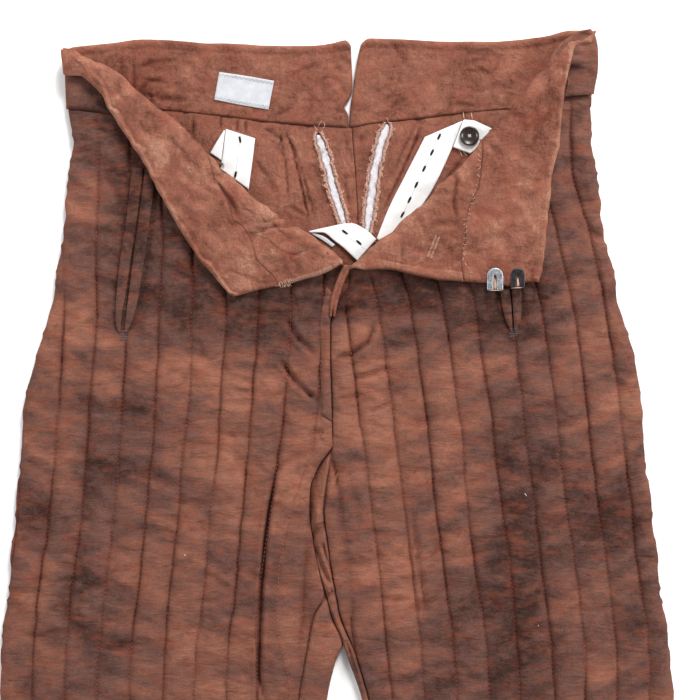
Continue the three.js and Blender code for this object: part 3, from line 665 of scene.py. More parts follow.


# ---- quilting, colouring and painted shadow ----
# Patches of colour and of painted shadow on the fronts: place, half sizes and turn in degrees, and
# how rusty (+) or grey-brown (-) the cloth is there. The long dark patches near y 250, just under
# the free edges of the turned-out corners, are painted shadow.
DYE_AND_SHADE_PATCHES = table("x y rx ry turn amount", [
    (-112, 256, 95, 20, -3, -0.3), (-215, 400, 60, 40, 0, -0.12), (-190, 300, 30, 60, 8, -0.25),
    (-229, 355, 26, 16, 6, 0.16), (-130, 130, 26, 24, 0, 0.14), (-84, 176, 24, 18, 0, 0.2),
    (14, 176, 20, 30, 0, 0.22), (94, 84, 22, 22, 0, 0.1), (-218, 130, 24, 30, 0, -0.16),
    (208, 470, 22, 30, 0, 0.2), (-265, -5, 24, 20, 0, -0.1), (-236, 352, 22, 18, 8, 0.22),
    (-240, 316, 20, 30, 8, -0.12), (-238, -5, 26, 40, 10, -0.22), (256, -5, 24, 30, 0, -0.2),
    (94, -50, 40, 30, 0, 0.12), (-245, 250, 30, 18, 20, 0.38), (-175, 203, 44, 14, 6, 0.5),
    (-205, 232, 30, 8, 10, 0.38), (-190, 150, 26, 60, 5, -0.3), (-112, 160, 24, 60, -6, 0.3),
    (-30, 138, 22, 16, 0, 0.45), (-35, 60, 22, 70, 5, 0.34), (-75, 100, 30, 50, 0, 0.18),
    (-275, 5, 22, 46, -20, 0.34), (-215, -20, 34, 40, 0, -0.14), (-150, -10, 40, 70, 0, 0.06),
    (-268, 130, 22, 40, 0, 0.1), (-270, 60, 24, 34, 0, -0.25), (-100, -60, 40, 30, 0, 0.2),
    (-60, 225, 30, 16, 0, -0.12), (115, 252, 70, 22, -4, -0.25), (10, 232, 22, 20, 0, 0.4),
    (18, 170, 20, 30, 0, 0.26), (6, 130, 12, 22, 0, -0.22), (165, 40, 30, 120, 0, -0.32),
    (95, 190, 34, 34, 0, 0.14), (212, 130, 52, 14, 28, 0.12), (240, 72, 34, 36, 0, -0.42),
    (235, 0, 40, 26, 25, 0.32), (28, 60, 28, 90, 6, 0.3), (95, 110, 34, 50, 0, 0.24),
    (110, -60, 34, 24, 0, -0.22), (-40, 31, 16, 44, 4, -0.24), (262, -5, 20, 36, 0, -0.18),
    (14, 175, 26, 24, 0, 0.14), (-94, 248, 22, 12, 0, -0.2), (120, 256, 26, 10, 0, -0.2),
    (-148.5, 36.5, 7, 4, 20, 0.5), (222, 230, 30, 20, 0, 0.2), (205, 360, 26, 40, 0, -0.1),
    (60, 140, 20, 20, 0, 0.1), (250, 180, 20, 20, 0, 0.26), (170, 225, 30, 14, 0, -0.25),
    (60, 10, 26, 40, 0, 0.2), (94, 85, 34, 30, 0, -0.22), (94, -50, 30, 26, 0, -0.22),
    (211, 454, 20, 26, 0, -0.28), (-234, 445, 20, 24, 0, -0.16), (14, 175, 20, 22, 0, 0.24),
    (140, 40, 22, 14, 0, -0.16), (152, 60, 22, 90, 0, -0.16), (236, 206, 16, 12, 0, -0.4),
    (-94, 247, 30, 10, 0, -0.2), (-272, 120, 34, 90, 8, -0.14), (-205, 205, 22, 40, 0, -0.1),
    (245, 60, 22, 60, -8, -0.1), (190, 35, 70, 95, -8, -0.13), (50, 120, 40, 40, 0, 0.06),
    (215, 150, 30, 30, 0, -0.12), (232, 330, 18, 40, 0, 0.1), (-150, 250, 20, 16, 0, -0.2),
    (-215, 330, 20, 60, 6, -0.1), (122, 256, 26, 10, 0, -0.16), (92, 200, 40, 9, 4, 0.2),
    (-170, 190, 34, 10, -4, 0.16)])


# Bands of colour and of painted shadow: amount, half width and path. The dark bands along the left
# corner's lower edge and just under both corners' free edges are painted shadow; the rest are the
# cloth's colour.
DYE_AND_SHADE_BANDS = [
    (0.32, 9, (160, 127), (205, 146), (263, 184)), (0.28, 8, (223, 97), (256, 127)),
    (0.24, 8, (106, 202), (166, 223), (238, 250)), (0.26, 7, (-306, 60), (-288, 36), (-262, 22)),
    (0.26, 7, (-296, 150), (-276, 128), (-252, 116)), (0.24, 7, (-262, 252), (-240, 240), (-216, 226)),
    (-0.2, 9, (-236, 210), (-228, 120), (-236, 20)), (-0.42, 16, (-182, 372), (-190, 310), (-199, 240)),
    (-0.34, 11, (148, 288), (151, 240)),
    (-0.34, 15, (-214, 440), (-196, 396), (-176, 350), (-150, 308), (-126, 282)),
    (-0.56, 24, (-128, 276), (-108, 258), (-60, 262), (-14, 272)),
    (-0.5, 18, (16, 272), (60, 276), (112, 268), (150, 264), (182, 272))]


def dye_and_shade_of(x, y):
    """How rusty the cloth is, 0 to 1, with painted shadow beside and under the turned-out corners: an
    even middle tone, the listed patches and bands, and noise stretched across the channels."""
    tone = np.full(np.broadcast(x, y).shape, 0.55)
    for amount, half, *path in DYE_AND_SHADE_BANDS:
        tone = tone + amount * hump(off_path(x, y, path)[0], half)
    for px, py, rx, ry, turn, amount in zip(*DYE_AND_SHADE_PATCHES.values()):
        c, s = math.cos(math.radians(turn)), math.sin(math.radians(turn))
        u = (x - px) * c + (y - py) * s
        v = (y - py) * c - (x - px) * s
        tone = tone + amount * np.exp(-((u / rx) ** 2 + (v / ry) ** 2) * 0.8)
    warp = 0.6 * noise(x / 45, y / 30, 3)
    slant = y - 0.0011 * x * x
    tone += 0.2 * np.tanh(2.0 * layered(x / 58 + warp, slant / 17 + warp, 5, 4))
    tone += 0.15 * layered(x / 22 + warp, slant / 9, 9, 3)
    low = 1 - ease(-260, -60, y)
    plain = 0.44 + 0.3 * layered(x / 80, y / 30, 15, 4)
    return np.clip(tone * (1 - low) + low * plain, 0.02, 0.98)


# Columns of points across a front: shares of a channel, closer at its stitching, then the long
# edges' rounding, and the least space that columns are squeezed to where the front narrows.
FRACTIONS = np.array([0, 0.04, 0.09, 0.17, 0.26, 0.35, 0.45, 0.55, 0.65, 0.74, 0.83, 0.91, 0.96])
PHASES = np.concatenate([k + FRACTIONS for k in range(-1, CHANNELS)])
BORDER = np.array([0, 0.5, 1.3, 2.6, 4.4, 6.6, EDGE_ROUND])
SQUEEZE = 0.085

# How far the left front's lines by the crotch are drawn towards the side.
DRAWN_LEFT = table("y shift", [(-510, 0), (-150, 0), (-76, -0.9), (-36, -4.9), (4, -6.9), (45, -7.5),
                               (76, -6.3), (108, -2.8), (140, 0), (520, 0)])


def stitch_sway(phase, y, side):
    """How far a stitched line wanders from straight, as a share of the pitch: slow noise, and on
    the left the lines by the crotch drawn towards the side."""
    seed = 61 if side == "left" else 67
    sway = 0.06 * noise(phase * 0.8, y / 62, seed) + 0.026 * noise(phase * 1.3, y / 14, seed + 1)
    if side == "left":
        shift = curve(DRAWN_LEFT["y"], DRAWN_LEFT["shift"], y) / PITCH
        sway = sway + shift * np.clip(phase - 6, 0, 2.2) ** 1.45
    return sway


def loose_by_crotch(side, phase, y):
    """1 in the loose tube beside the crotch, whose own stitching hardly draws in, else 0."""
    if side == "right":
        return 0 * phase
    return ease(7.25, 7.6, phase) * (1 - ease(100, 140, y)) * ease(-170, -110, y)


def scallops(y):
    """How far the padded side edges wander in and out down the legs."""
    return 2.4 * np.abs(noise(y / 11, 0.5, 71)) + 1.5 * noise(y / 33, 1.5, 71) - 1.2


def off_stitch(phase):
    """Distance from the nearest stitched line."""
    return np.abs(phase - np.round(phase)) * PITCH


def drawn_in(side, phase, y):
    """How tightly each stitched line is drawn in along its length, 0 to 1."""
    return ease(-0.5, 0.6, noise(np.round(phase) * 3.7, y / 70, QUILT_SEED[side] + 6))


def front_columns(side, y):
    """x, distance from the nearest long edge, and place in the quilting, 0 at a stitched line and
    1 at the next, of every column at heights y, an array (columns, rows)."""
    low = outline("side", side, y) + GAP + scallops(y)
    high = outline("seam", side, y) - GAP / 2
    line = INWARD[side] * curve(GRAIN["y"], GRAIN[side], y)
    n = len(PHASES)
    order = np.arange(n)[:, None]
    mid = slice(len(BORDER), len(BORDER) + n)
    wanted = line[mid] + (PHASES[:, None] + stitch_sway(PHASES[:, None], y[mid], side)) * PITCH
    least = low[mid] + EDGE_ROUND + (order + 1) * SQUEEZE
    most = high[mid] - EDGE_ROUND - (n - order) * SQUEEZE
    x = np.concatenate([low[:len(BORDER)] + BORDER[:, None], np.clip(wanted, least, most),
                        high[-len(BORDER):] - BORDER[::-1, None]])
    across = (x - line) / PITCH
    phase = across
    for _ in range(6):
        phase = across - stitch_sway(phase, y, side)
    return INWARD[side] * x, np.minimum(x - low, high - x), phase


COLUMNS = len(PHASES) + 2 * len(BORDER)

# The largest creases of the fronts, in the flat pattern: depth, half width and path.
FRONT_CREASES = {
    "left": [
        (5.5, 1.8, (-62, 108), (-68, 76), (-72, 45), (-75, 4), (-76.5, -36), (-77, -76), (-70, -102)),
        (-4.2, 11, (-44, 104), (-50, 70), (-54, 20), (-58, -30), (-61, -96)),
        (2.0, 2.4, (-33, 50), (-37, 20), (-38, -20), (-42, -50)),
        (3.0, 2.2, (-55, 252), (-44, 232), (-25, 214)), (3.4, 2.2, (-60, 214), (-46, 193), (-25, 173)),
        (1.6, 2.8, (-70, 96), (-62, 112), (-46, 123), (-26, 131)), (2.2, 2.2, (-246, 398), (-226, 401)),
        (1.8, 2.6, (-218, 380), (-206, 362), (-196, 344)), (1.5, 3, (-250, 372), (-222, 360)),
        (1.4, 3, (-238, 332), (-205, 322)), (1.4, 3.2, (-228, 286), (-196, 270)),
        (1.2, 4, (-100, 132), (-84, 96)), (1.2, 3.2, (-60, 108), (-64, 152)),
        (1.2, 3.5, (-262, 214), (-232, 208)), (1.2, 3, (-252, 170), (-226, 158)),
        (1.1, 3, (-160, 160), (-134, 150)), (1.2, 3, (-110, 200), (-80, 190)),
        (1.2, 3, (-222, 100), (-196, 92)), (1.3, 3, (-288, 60), (-262, 48)),
        (1.2, 3, (-180, 60), (-150, 54)), (1.3, 3, (-280, -40), (-250, -52)),
        (1.2, 3, (-130, 20), (-104, 8)), (1.2, 3, (-210, 10), (-188, -4))],
    "right": [
        (3.2, 2.4, (-11, 253), (0, 254), (10, 260), (16, 270)),
        (3.6, 2.4, (-10, 213), (6, 216), (20, 226), (27, 244)),
        (2.8, 2.4, (8, 194), (24, 198), (40, 204)), (2.4, 2.4, (22, 164), (42, 173)),
        (2.2, 2.4, (-6, 176), (14, 180)), (1.5, 3.4, (2, 112), (10, 84), (14, 60)),
        (1.4, 3, (60, 262), (92, 250)), (1.5, 3, (216, 330), (236, 318)),
        (1.6, 3, (205, 290), (232, 284)), (1.5, 3, (236, 205), (262, 196)),
        (1.4, 3, (92, 60), (76, 28)), (1.6, 2.6, (226, 392), (208, 380)),
        (1.4, 3, (200, 356), (228, 350)), (1.4, 3, (150, 205), (120, 190)),
        (1.2, 3, (190, 150), (220, 160)), (1.3, 3, (250, 90), (222, 76)),
        (1.2, 3, (160, 90), (136, 78)), (1.3, 3, (270, 10), (240, 0)), (1.2, 3, (60, 150), (84, 160)),
        (1.2, 3, (40, 40), (60, 30)), (1.3, 3, (120, -10), (96, -24)),
        (2.2, 2, (60, 80), (66, 30), (74, -20))]}


def pressed(side, x, y):
    """1 over the pocket mouth, where the quilting is pressed flat, and 0 clear of it."""
    p = POCKETS[side]
    part = np.clip((y - p["foot"][1]) / (p["top"][1] - p["foot"][1]), 0, 1)
    off = np.abs(x - (p["foot"][0] + (p["top"][0] - p["foot"][0]) * part))
    above = np.maximum(np.maximum(p["foot"][1] - y, y - p["top"][1]), 0)
    return (1 - ease(p["welt"] + 1, p["welt"] + 8, off)) * (1 - ease(4, 22, above))


def front_thickness(side, x, y, d, phase, border, below):
    """Thickness of the quilted wall: sharp valleys at the stitching, puckers running off them,
    broad unevenness, hand-placed creases, and a rounded border."""
    arch = np.abs(np.sin(np.pi * phase))
    loose = loose_by_crotch(side, phase, y)
    full = arch ** 0.58
    full = full + (1 - full) * 0.85 * loose
    off = off_stitch(phase)
    near = hump(off, 6.0)
    seed = QUILT_SEED[side]
    pucker = noise(x / 13, y / 4.6, seed) * (0.4 + 1.1 * near) + noise(x / 12, y / 9, seed + 1) * 0.8
    uneven = noise(x / 34, y / 26, seed + 2) * 0.7 + noise(x / 19, y / 15, seed + 3) * 0.35
    fine = -1.3 * wrinkles(x, y, 21, 8, seed + 21) - 1.1 * wrinkles(x, y, 11, 6, seed + 41)
    crown = CROWN * full + (pucker + uneven * full + fine) * np.minimum(1, 0.35 + arch)
    deep = (0.35 + 1.5 * drawn_in(side, phase, y)) * (1 - 0.8 * loose)
    quilted = STITCHED + crown * (1 - pressed(side, x, y)) - deep * hump(off, 1.6)
    quilted = quilted + creased(x, y, FRONT_CREASES[side])
    calm = ease(-3 * FOLD_RADIUS, -FOLD_RADIUS, d)
    flat = np.maximum(calm, 1 - ease(0, 12, below))
    thick = quilted + (FOLD_WALL - quilted) * flat
    soft = np.sqrt(np.clip(border / EDGE_ROUND, 0, 1))
    return np.maximum(1.6 + (thick - 1.6) * (0.4 + 0.6 * soft), 1.0)


def rounded(edge, radius=3.0, least=0.12):
    """Share of the full thickness near a rim: a quarter circle over the radius, from the least."""
    t = np.clip(1 - edge / radius, 0, 1)
    return least + (1 - least) * np.sqrt(1 - t * t)


# Where small parts press the cloth flat: paths along their middles, and half widths.
PRESSED_BACK = [
    (15, (-116, 458.5), (-66, 450)), (16, (-95, 416), (-104, 372)), (14, (100, 412), (132, 416)),
    (17, (90, 415), (60, 360), (36, 318)), (15, (-32, 326), (4, 322), (22, 312))]
PRESSED_FLAP = [(12, (132, 284), (156, 285))]


def eased_off(x, y, places):
    """1 clear of the places, 0 on them."""
    free = np.ones(np.broadcast(x, y).shape)
    for half, *path in places:
        free = free * ease(half - 2, half + 3, off_path(x, y, path)[0])
    return free


# Creases of the upturned linings, where they lie.
LINING_CREASES = {
    "left": [
        (2.6, 1.7, (-86, 324), (-62, 331), (-34, 333)), (2.2, 1.6, (-80, 333), (-58, 338), (-40, 340)),
        (-1.2, 2, (-80, 330.5), (-60, 334.5), (-40, 337)),
        (1.3, 2.5, (-114, 366), (-102, 350), (-94, 336)),
        (1.3, 1.6, (-117, 371), (-108, 362), (-96, 344)), (1.1, 3, (-150, 382), (-132, 366)),
        (1.1, 3.5, (-126, 330), (-104, 312)), (1.0, 3, (-150, 352), (-136, 330)),
        (1.0, 3, (-188, 424), (-170, 404)), (1.0, 3, (-60, 316), (-40, 322)),
        (1.6, 2.2, (-158, 408), (-146, 398), (-140, 384)), (1.4, 2.4, (-176, 412), (-164, 420)),
        (1.3, 2.4, (-134, 372), (-120, 360)), (1.2, 2.6, (-98, 320), (-84, 308)),
        (1.2, 2.4, (-206, 452), (-194, 440))],
    "right": [
        (1.8, 2, (94, 394), (100, 372), (97, 352), (100, 336)), (1.2, 2.5, (76, 360), (104, 362)),
        (1.2, 2.5, (76, 330), (90, 334), (106, 332)), (1.2, 3, (128, 404), (150, 384)),
        (1.2, 3, (60, 312), (86, 306)), (1.3, 1.4, (51, 315), (51, 300)),
        (1.0, 3, (140, 340), (168, 344)), (1.2, 3, (118, 316), (146, 322)),
        (1.2, 3, (150, 430), (166, 408)), (1.0, 3, (90, 312), (104, 300))]}


# Patches of tone on the upturned linings, where they lie: place, half size and amount.
LINING_TONES = table("x y r amount", [
    (162, 425, 20, -0.45), (150, 385, 26, -0.12), (120, 345, 24, 0.06), (80, 320, 26, 0.16),
    (20, 300, 18, 0.1), (175, 340, 20, 0.1), (-75, 318, 24, 0.22), (-130, 350, 18, -0.1),
    (-100, 335, 20, -0.08), (-165, 400, 16, 0.14), (-200, 440, 16, 0.1), (-190, 430, 10, -0.1),
    (-150, 375, 14, 0.1), (180, 452, 26, -0.24), (139, 319, 18, 0.16), (-94, 292, 18, 0.2),
    (-140, 356, 16, 0.16), (68, 319, 18, -0.14)])


def toned(x, y):
    """The tone added by the listed patches."""
    tone = np.zeros(np.broadcast(x, y).shape)
    for px, py, r, amount in zip(*LINING_TONES.values()):
        tone = tone + amount * np.exp(-((x - px) ** 2 + (y - py) ** 2) / r ** 2)
    return tone


def lining_relief(side, placed, d, phase):
    """How far the upturned lining stands out: soft channels, nap lumps and creases, measured
    where it lies, and nothing on the plain inside."""
    x, y = placed[..., 0], placed[..., 1]
    seed = NAP_SEED[side]
    soft = 0.5 * np.abs(np.sin(np.pi * phase)) ** 0.6
    lumps = noise(x / 21, y / 19, seed) * 1.2 + noise(x / 8, y / 9, seed + 1) * 0.8
    lumps = lumps + noise(x / 3.6, y / 4.1, seed + 2) * 0.35 - 0.8 * wrinkles(x, y, 12, 10, seed + 3)
    relief = 0.9 + soft + lumps + creased(x, y, LINING_CREASES[side])
    return relief * ease(-FOLD_RADIUS, 0.2 * FOLD_RADIUS, d) * eased_off(x, y, PRESSED_FLAP)


def front(side):
    """A front in one piece from hem to waistband seam, folded over at its corner: rows follow the
    fold, the outer surface stands off by the quilted thickness, and the lining by its relief."""
    fold, seam = FOLDS[side], FRONT_SEAM[side]
    samples = np.linspace(HEM, 475, 1400)
    y = np.broadcast_to(samples, (COLUMNS, len(samples)))
    x = front_columns(side, y)[0]
    beyond = fold.split(x, y)[2]
    over_seam = y + SEAM / 2 - curve(seam["x"], seam["y"], x)
    upper = samples > 250
    top = np.array([np.interp(0, row[upper], samples[upper]) for row in over_seam])
    bend_at = FOLD_RADIUS * np.linspace(-1, 1, 15)
    mid = samples > 150
    bends = np.array([np.interp(bend_at, row[mid], samples[mid], right=900) for row in beyond])
    flap_rows = 64
    least = 0.1
    spare = (np.arange(len(bend_at), 0, -1) + flap_rows) * least
    bends = np.minimum(bends, top[:, None] - spare)
    knee = bends[:, :1]
    levels = np.concatenate([np.arange(HEM, THIGH, 4.4), np.linspace(THIGH, knee[-1, 0], 162)])
    share = (levels - HEM) / (knee[-1, 0] - HEM)
    legs = HEM + share[None, :] * (knee - HEM)
    rest = bends[:, -1:] + (top[:, None] - bends[:, -1:]) * np.linspace(0, 1, flap_rows + 1)[None, 1:]
    y = np.concatenate([legs, bends[:, 1:], rest], 1)
    x, border, phase = front_columns(side, y)
    d = fold.split(x, y)[2]
    below = top[:, None] - y
    hem = y - HEM
    thick = front_thickness(side, x, y, d, phase, np.minimum(border, hem + 4), below)
    placed = fold.place(x, y, 0 * x)
    relief = lining_relief(side, placed, d, phase)
    by_inseam = (phase > CHANNELS / 2) & (y < 140)
    rim = rounded(np.minimum(border, hem), 4.5, np.where(by_inseam, 0.5, 0.12))
    rim = np.minimum(rim, rounded(below, 1.8, np.where(d > 0, 0.86, 0.5)))
    middle = thick / 2
    outer = fold.place(x, y, middle + (thick - middle) * rim)
    lining = fold.place(x, y, middle + (-relief - middle) * rim)
    off, seed = off_stitch(phase), QUILT_SEED[side]
    strong = 0.45 + 0.55 * drawn_in(side, phase, y)
    # Darker at the quilting lines: the stitching's own red-brown colour, with painted shade in the valleys
    # and on the channels' flanks, and further painted shade in wrinkles and creases.
    line = strong * (hump(off, 1.1) + 0.22 * hump(off, 4.5)) * (1 - pressed(side, x, y))
    line = line * (1 - 0.5 * loose_by_crotch(side, phase, y))
    line = line + 0.35 * wrinkles(x, y, 21, 8, seed + 21) + 0.35 * wrinkles(x, y, 11, 6, seed + 41)
    line = line + np.clip(-creased(x, y, FRONT_CREASES[side]), 0, 5) * 0.3
    # Painted shade along the long edges and at the waistband seam.
    edge_and_seam_shade = 0.2 * hump(np.minimum(border, below), 1.3)
    stitch_and_shade = np.maximum(line, edge_and_seam_shade) * ease(0, -FOLD_RADIUS, d)
    worn = 0.16 * hump(d, 7) + 0.25 * hump(np.minimum(border, 9), 3)
    lies_x, lies_y = placed[..., 0], placed[..., 1]
    # Painted shade on the upturned lining: darker at its quilting lines, along its seam, in the hollows of
    # its wrinkles and in its creases.
    hollow_shade = wrinkles(lies_x, lies_y, 12, 10, NAP_SEED[side] + 3)
    crease_shade = np.clip(-creased(lies_x, lies_y, LINING_CREASES[side]), 0, 1.5)
    broken = 0.3 + 0.25 * noise(x / 9, y / 9, 115)
    on_flap = 0.3 * line + broken * hump(below, 1.2) + 0.2 * hollow_shade + 0.5 * crease_shade
    tone = 0.5 + 0.16 * noise(x / 30, y / 24, 111) + 0.18 * noise(x / 9, y / 9, 113) + worn - 0.15 * hollow_shade
    tone = tone + toned(lies_x, lies_y)
    channel = 0.16 * noise(np.floor(phase) * 5.3, (y - 0.4 * np.abs(x)) / 15, seed + 31)
    dye_and_shade = np.clip(dye_and_shade_of(x, y) + channel, 0.02, 0.98)
    piece = panel("front_cloth_" + side, outer, lining, [CLOTH, LINING], (dye_and_shade, tone), (stitch_and_shade, on_flap))
    return piece, {"x": x, "y": y, "top": top, "border": border, "d": d,
                   "outer": outer, "lining": lining, "below": below}


def declare(piece, nodes):
    """Rides the piece on the garment and says what it replaces."""
    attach(piece, "root")
    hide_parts(*nodes)


def trim(piece, nodes=()):
    """Rides a small piece on the garment, and says what it replaces."""
    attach(piece, "root")
    if nodes:
        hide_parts(*nodes)
    return piece


STITCH_LENGTH = 3.0
STITCH_GAP = 0.8
THREAD_RADIUS = 0.42


def quilting_thread(side, shape):
    """Stitches in the bottom of every quilted valley, where it shows and no crease swallows it."""
    lines = []
    for k in range(1, CHANNELS + 1):
        column = len(BORDER) + k * len(FRACTIONS)
        x, y, border, d, below = (shape[key][column] for key in ("x", "y", "border", "d", "below"))
        clear = (border > EDGE_ROUND + 1.5) & (d < -FOLD_RADIUS) & (below > 2)
        clear &= (pressed(side, x, y) < 0.2) & (creased(x, y, FRONT_CREASES[side]) > -1.2)
        if clear.sum() > 10:
            lines.append(stitch_lines(shape["outer"][column][clear], STITCH_LENGTH, STITCH_GAP, 0.05))
    return tubes("quilting_thread_" + side, np.concatenate(lines), THREAD_RADIUS, RUST_THREAD, 4)


FRONT_SHAPES = {}
for side in SIDES:
    cloth, shape = front(side)
    FRONT_SHAPES[side] = shape
    thread = trim(quilting_thread(side, shape))
    declare(cloth, ["front_" + side])


# ---- the back ----
# Creases of the back's lining and, lower down, of the cloth wrapped round the inner leg.
BACK_CREASES = {
    "left": [
        (1.7, 1.1, (-56, 425), (-51, 411), (-46.5, 400), (-40.5, 373), (-31, 331)),
        (1.3, 0.9, (-50.5, 411), (-44, 398), (-36, 372), (-27, 338)),
        (1.2, 1.1, (-58.5, 424), (-57.6, 409), (-53, 385), (-50.4, 352)),
        (1.2, 1.3, (-137, 434), (-137, 391)), (1.5, 1.4, (-112.5, 431), (-112.5, 421)),
        (1.5, 1.3, (-97.5, 429), (-97.5, 417)), (1.5, 1.3, (-90, 428), (-88.5, 415)),
        (1.1, 1.8, (-81, 392), (-70, 376), (-60, 364)), (1.0, 1.8, (-76, 376), (-62, 362)),
        (1.1, 1.6, (-52, 351), (-40, 344), (-33, 340)), (0.9, 1.6, (-72, 420), (-54, 408)),
        (0.9, 1.4, (-2, 420), (3, 404), (7, 388)), (0.8, 1.4, (0, 380), (4, 350))],
    "right": [
        (1.5, 1.5, (69, 429), (65, 412), (57, 394), (49, 376), (40, 358), (33, 342)),
        (0.9, 1.6, (66, 428), (52, 400), (44, 380)), (1.1, 1.6, (100, 408), (88, 390), (74, 368)),
        (1.2, 1.6, (108, 394), (96, 380), (84, 362)), (0.9, 1.6, (16, 418), (12, 396)),
        (-2.6, 2.4, (-11, 134), (-15, 115), (-19, 97), (-22, 80)),
        (2.0, 3.2, (-18, 130), (-26, 106), (-30, 84), (-31, 60)),
        (2.0, 3.6, (-14, 66), (-22, 57), (-33, 48)), (-1.6, 3.4, (-26, 60), (-25, 72), (-24, 84)),
        (1.9, 1.7, (-27, 43), (-22, 28), (-13, 8)), (-1.4, 2.0, (-30, 42), (-25, 22), (-19, 4)),
        (1.5, 1.5, (-20, 47), (-17, 34), (-10, 18)), (-1.2, 1.8, (-17, 47), (-14, 34), (-8, 20)),
        (1.6, 2.6, (-20, -5), (-8, 2)), (1.8, 1.6, (0, -40), (6, -58), (12, -78)),
        (-1.6, 2.5, (-14, -10), (-4, -36), (4, -60)), (1.6, 1.4, (-14, -14), (-6, -34), (0, -48))]}
BAND_CREASES = {
    "left": [
        (1.8, 1.6, (-190.5, 481), (-191, 466), (-192, 451)), (1.3, 1.5, (-203, 484), (-200, 462)),
        (1.3, 2.2, (-187, 474), (-174, 480), (-150, 482)),
        (1.5, 2.0, (-188, 452), (-177, 463), (-161, 464)), (1.7, 2.8, (-170, 447), (-141, 446)),
        (1.4, 1.6, (-178, 453), (-173, 441)), (1.2, 1.6, (-214, 485), (-217, 474)),
        (0.8, 2.4, (-160, 488), (-128, 486)), (1.0, 2, (-60, 444), (-58, 430)),
        (0.9, 2, (-84, 450), (-82, 434)), (0.8, 3, (-50, 480), (-26, 470)),
        (0.8, 2.4, (-30, 452), (-34, 430)), (0.8, 2.4, (-150, 462), (-152, 440)),
        (0.9, 2.4, (-10, 476), (2, 470))],
    "right": [
        (1.1, 2.2, (108, 488), (136, 487.5)), (1.1, 2, (109, 472), (127, 471)),
        (0.9, 2.6, (50, 485), (63, 470)), (1.0, 1.8, (98, 454), (92, 434)),
        (1.0, 1.6, (100, 441), (117, 441)), (0.8, 2.2, (26, 470), (30, 448)),
        (0.8, 2.2, (60, 456), (66, 440)), (0.9, 2.4, (134, 462), (132, 444)),
        (0.8, 2.4, (150, 470), (166, 462))]}
# Columns across a back, in blocks: the wrapped strip, up to a rip, and on to the side seam.
WRAP_SHARES = np.array([0, 0.03, 0.09, 0.2, 0.34, 0.5, 0.67, 0.84])
BACK_SHARES = [WRAP_SHARES, np.arange(9) / 9, np.arange(30) / 30, np.arange(32) / 32,
               np.array([0, 0.2, 0.4, 0.55, 0.68, 0.8, 0.9, 0.96, 0.985, 0.995, 1])]
RIP_COLUMNS = (8, 17)    # the columns that follow the two torn edges


def torn(side, y):
    """The two torn edges of a rip at heights y, nearer the inner edge first, drawn in at its ends."""
    rip = RIPS[side]
    low, high = rip["y"][-1], rip["y"][0]
    middle = np.interp(y, rip["y"][::-1], rip["x"][::-1])
    ends = np.clip(np.minimum((y - low) / 26, (high + 3 - y) / 9), 0.04, 1) ** 0.6
    seed = 121 if side == "left" else 127
    ragged = [0.9 * noise(y / 1.9, k, seed) + 0.5 * noise(y / 6, k + 7, seed) for k in (0, 3)]
    half = (RIP_HALF - 0.1) * ends
    return middle + half + ragged[0] * ends, middle - half + ragged[1] * ends


def back_columns(side, y):
    """x, distance in from the inner edge and width of the wrapped strip for every column at
    heights y. Two of the columns follow the torn edges, or lower down the inseam."""
    way = INWARD[side]
    outer = outline("side", side, y) + scallops(y)
    edge = outline("edge", side, y) - GAP / 2
    seam = outline("seam", side, y) + GAP
    wrap = np.maximum(np.where(y < CROTCH, edge - seam, 0), 0.9)
    near, far = (edge - way * torn_x for torn_x in torn(side, y)[::way])
    s = ease(150, 300, y)
    anchors = [0 * wrap, wrap * 0.5 * (1 - s) + near * s, wrap * (1 - s) + far * s]
    anchors += [anchors[2] + 60, anchors[2] + 140, edge - outer]
    offsets = []
    for shares, low, high in zip(BACK_SHARES, anchors, anchors[1:]):
        done = sum(len(part) for part in offsets)
        block = slice(done, done + len(shares))
        offsets.append(low[block] + (high - low)[block] * shares[:, None])
    offsets = np.concatenate(offsets)
    return way * (edge - offsets), offsets, wrap


BACK_COUNT = sum(len(shares) for shares in BACK_SHARES)


def clear_of_flaps(x, y):
    """1 where the back shows between the two folds, 0 under the fronts."""
    return ease(-7, 2, FOLDS["left"].split(x, y)[2]) * ease(-7, 2, FOLDS["right"].split(x, y)[2])


HIGHLIGHT_RIDGE = [(-11, 134), (-15, 115), (-19, 97), (-24, 76)]      # a painted highlight along the ridge of the wrapped strip
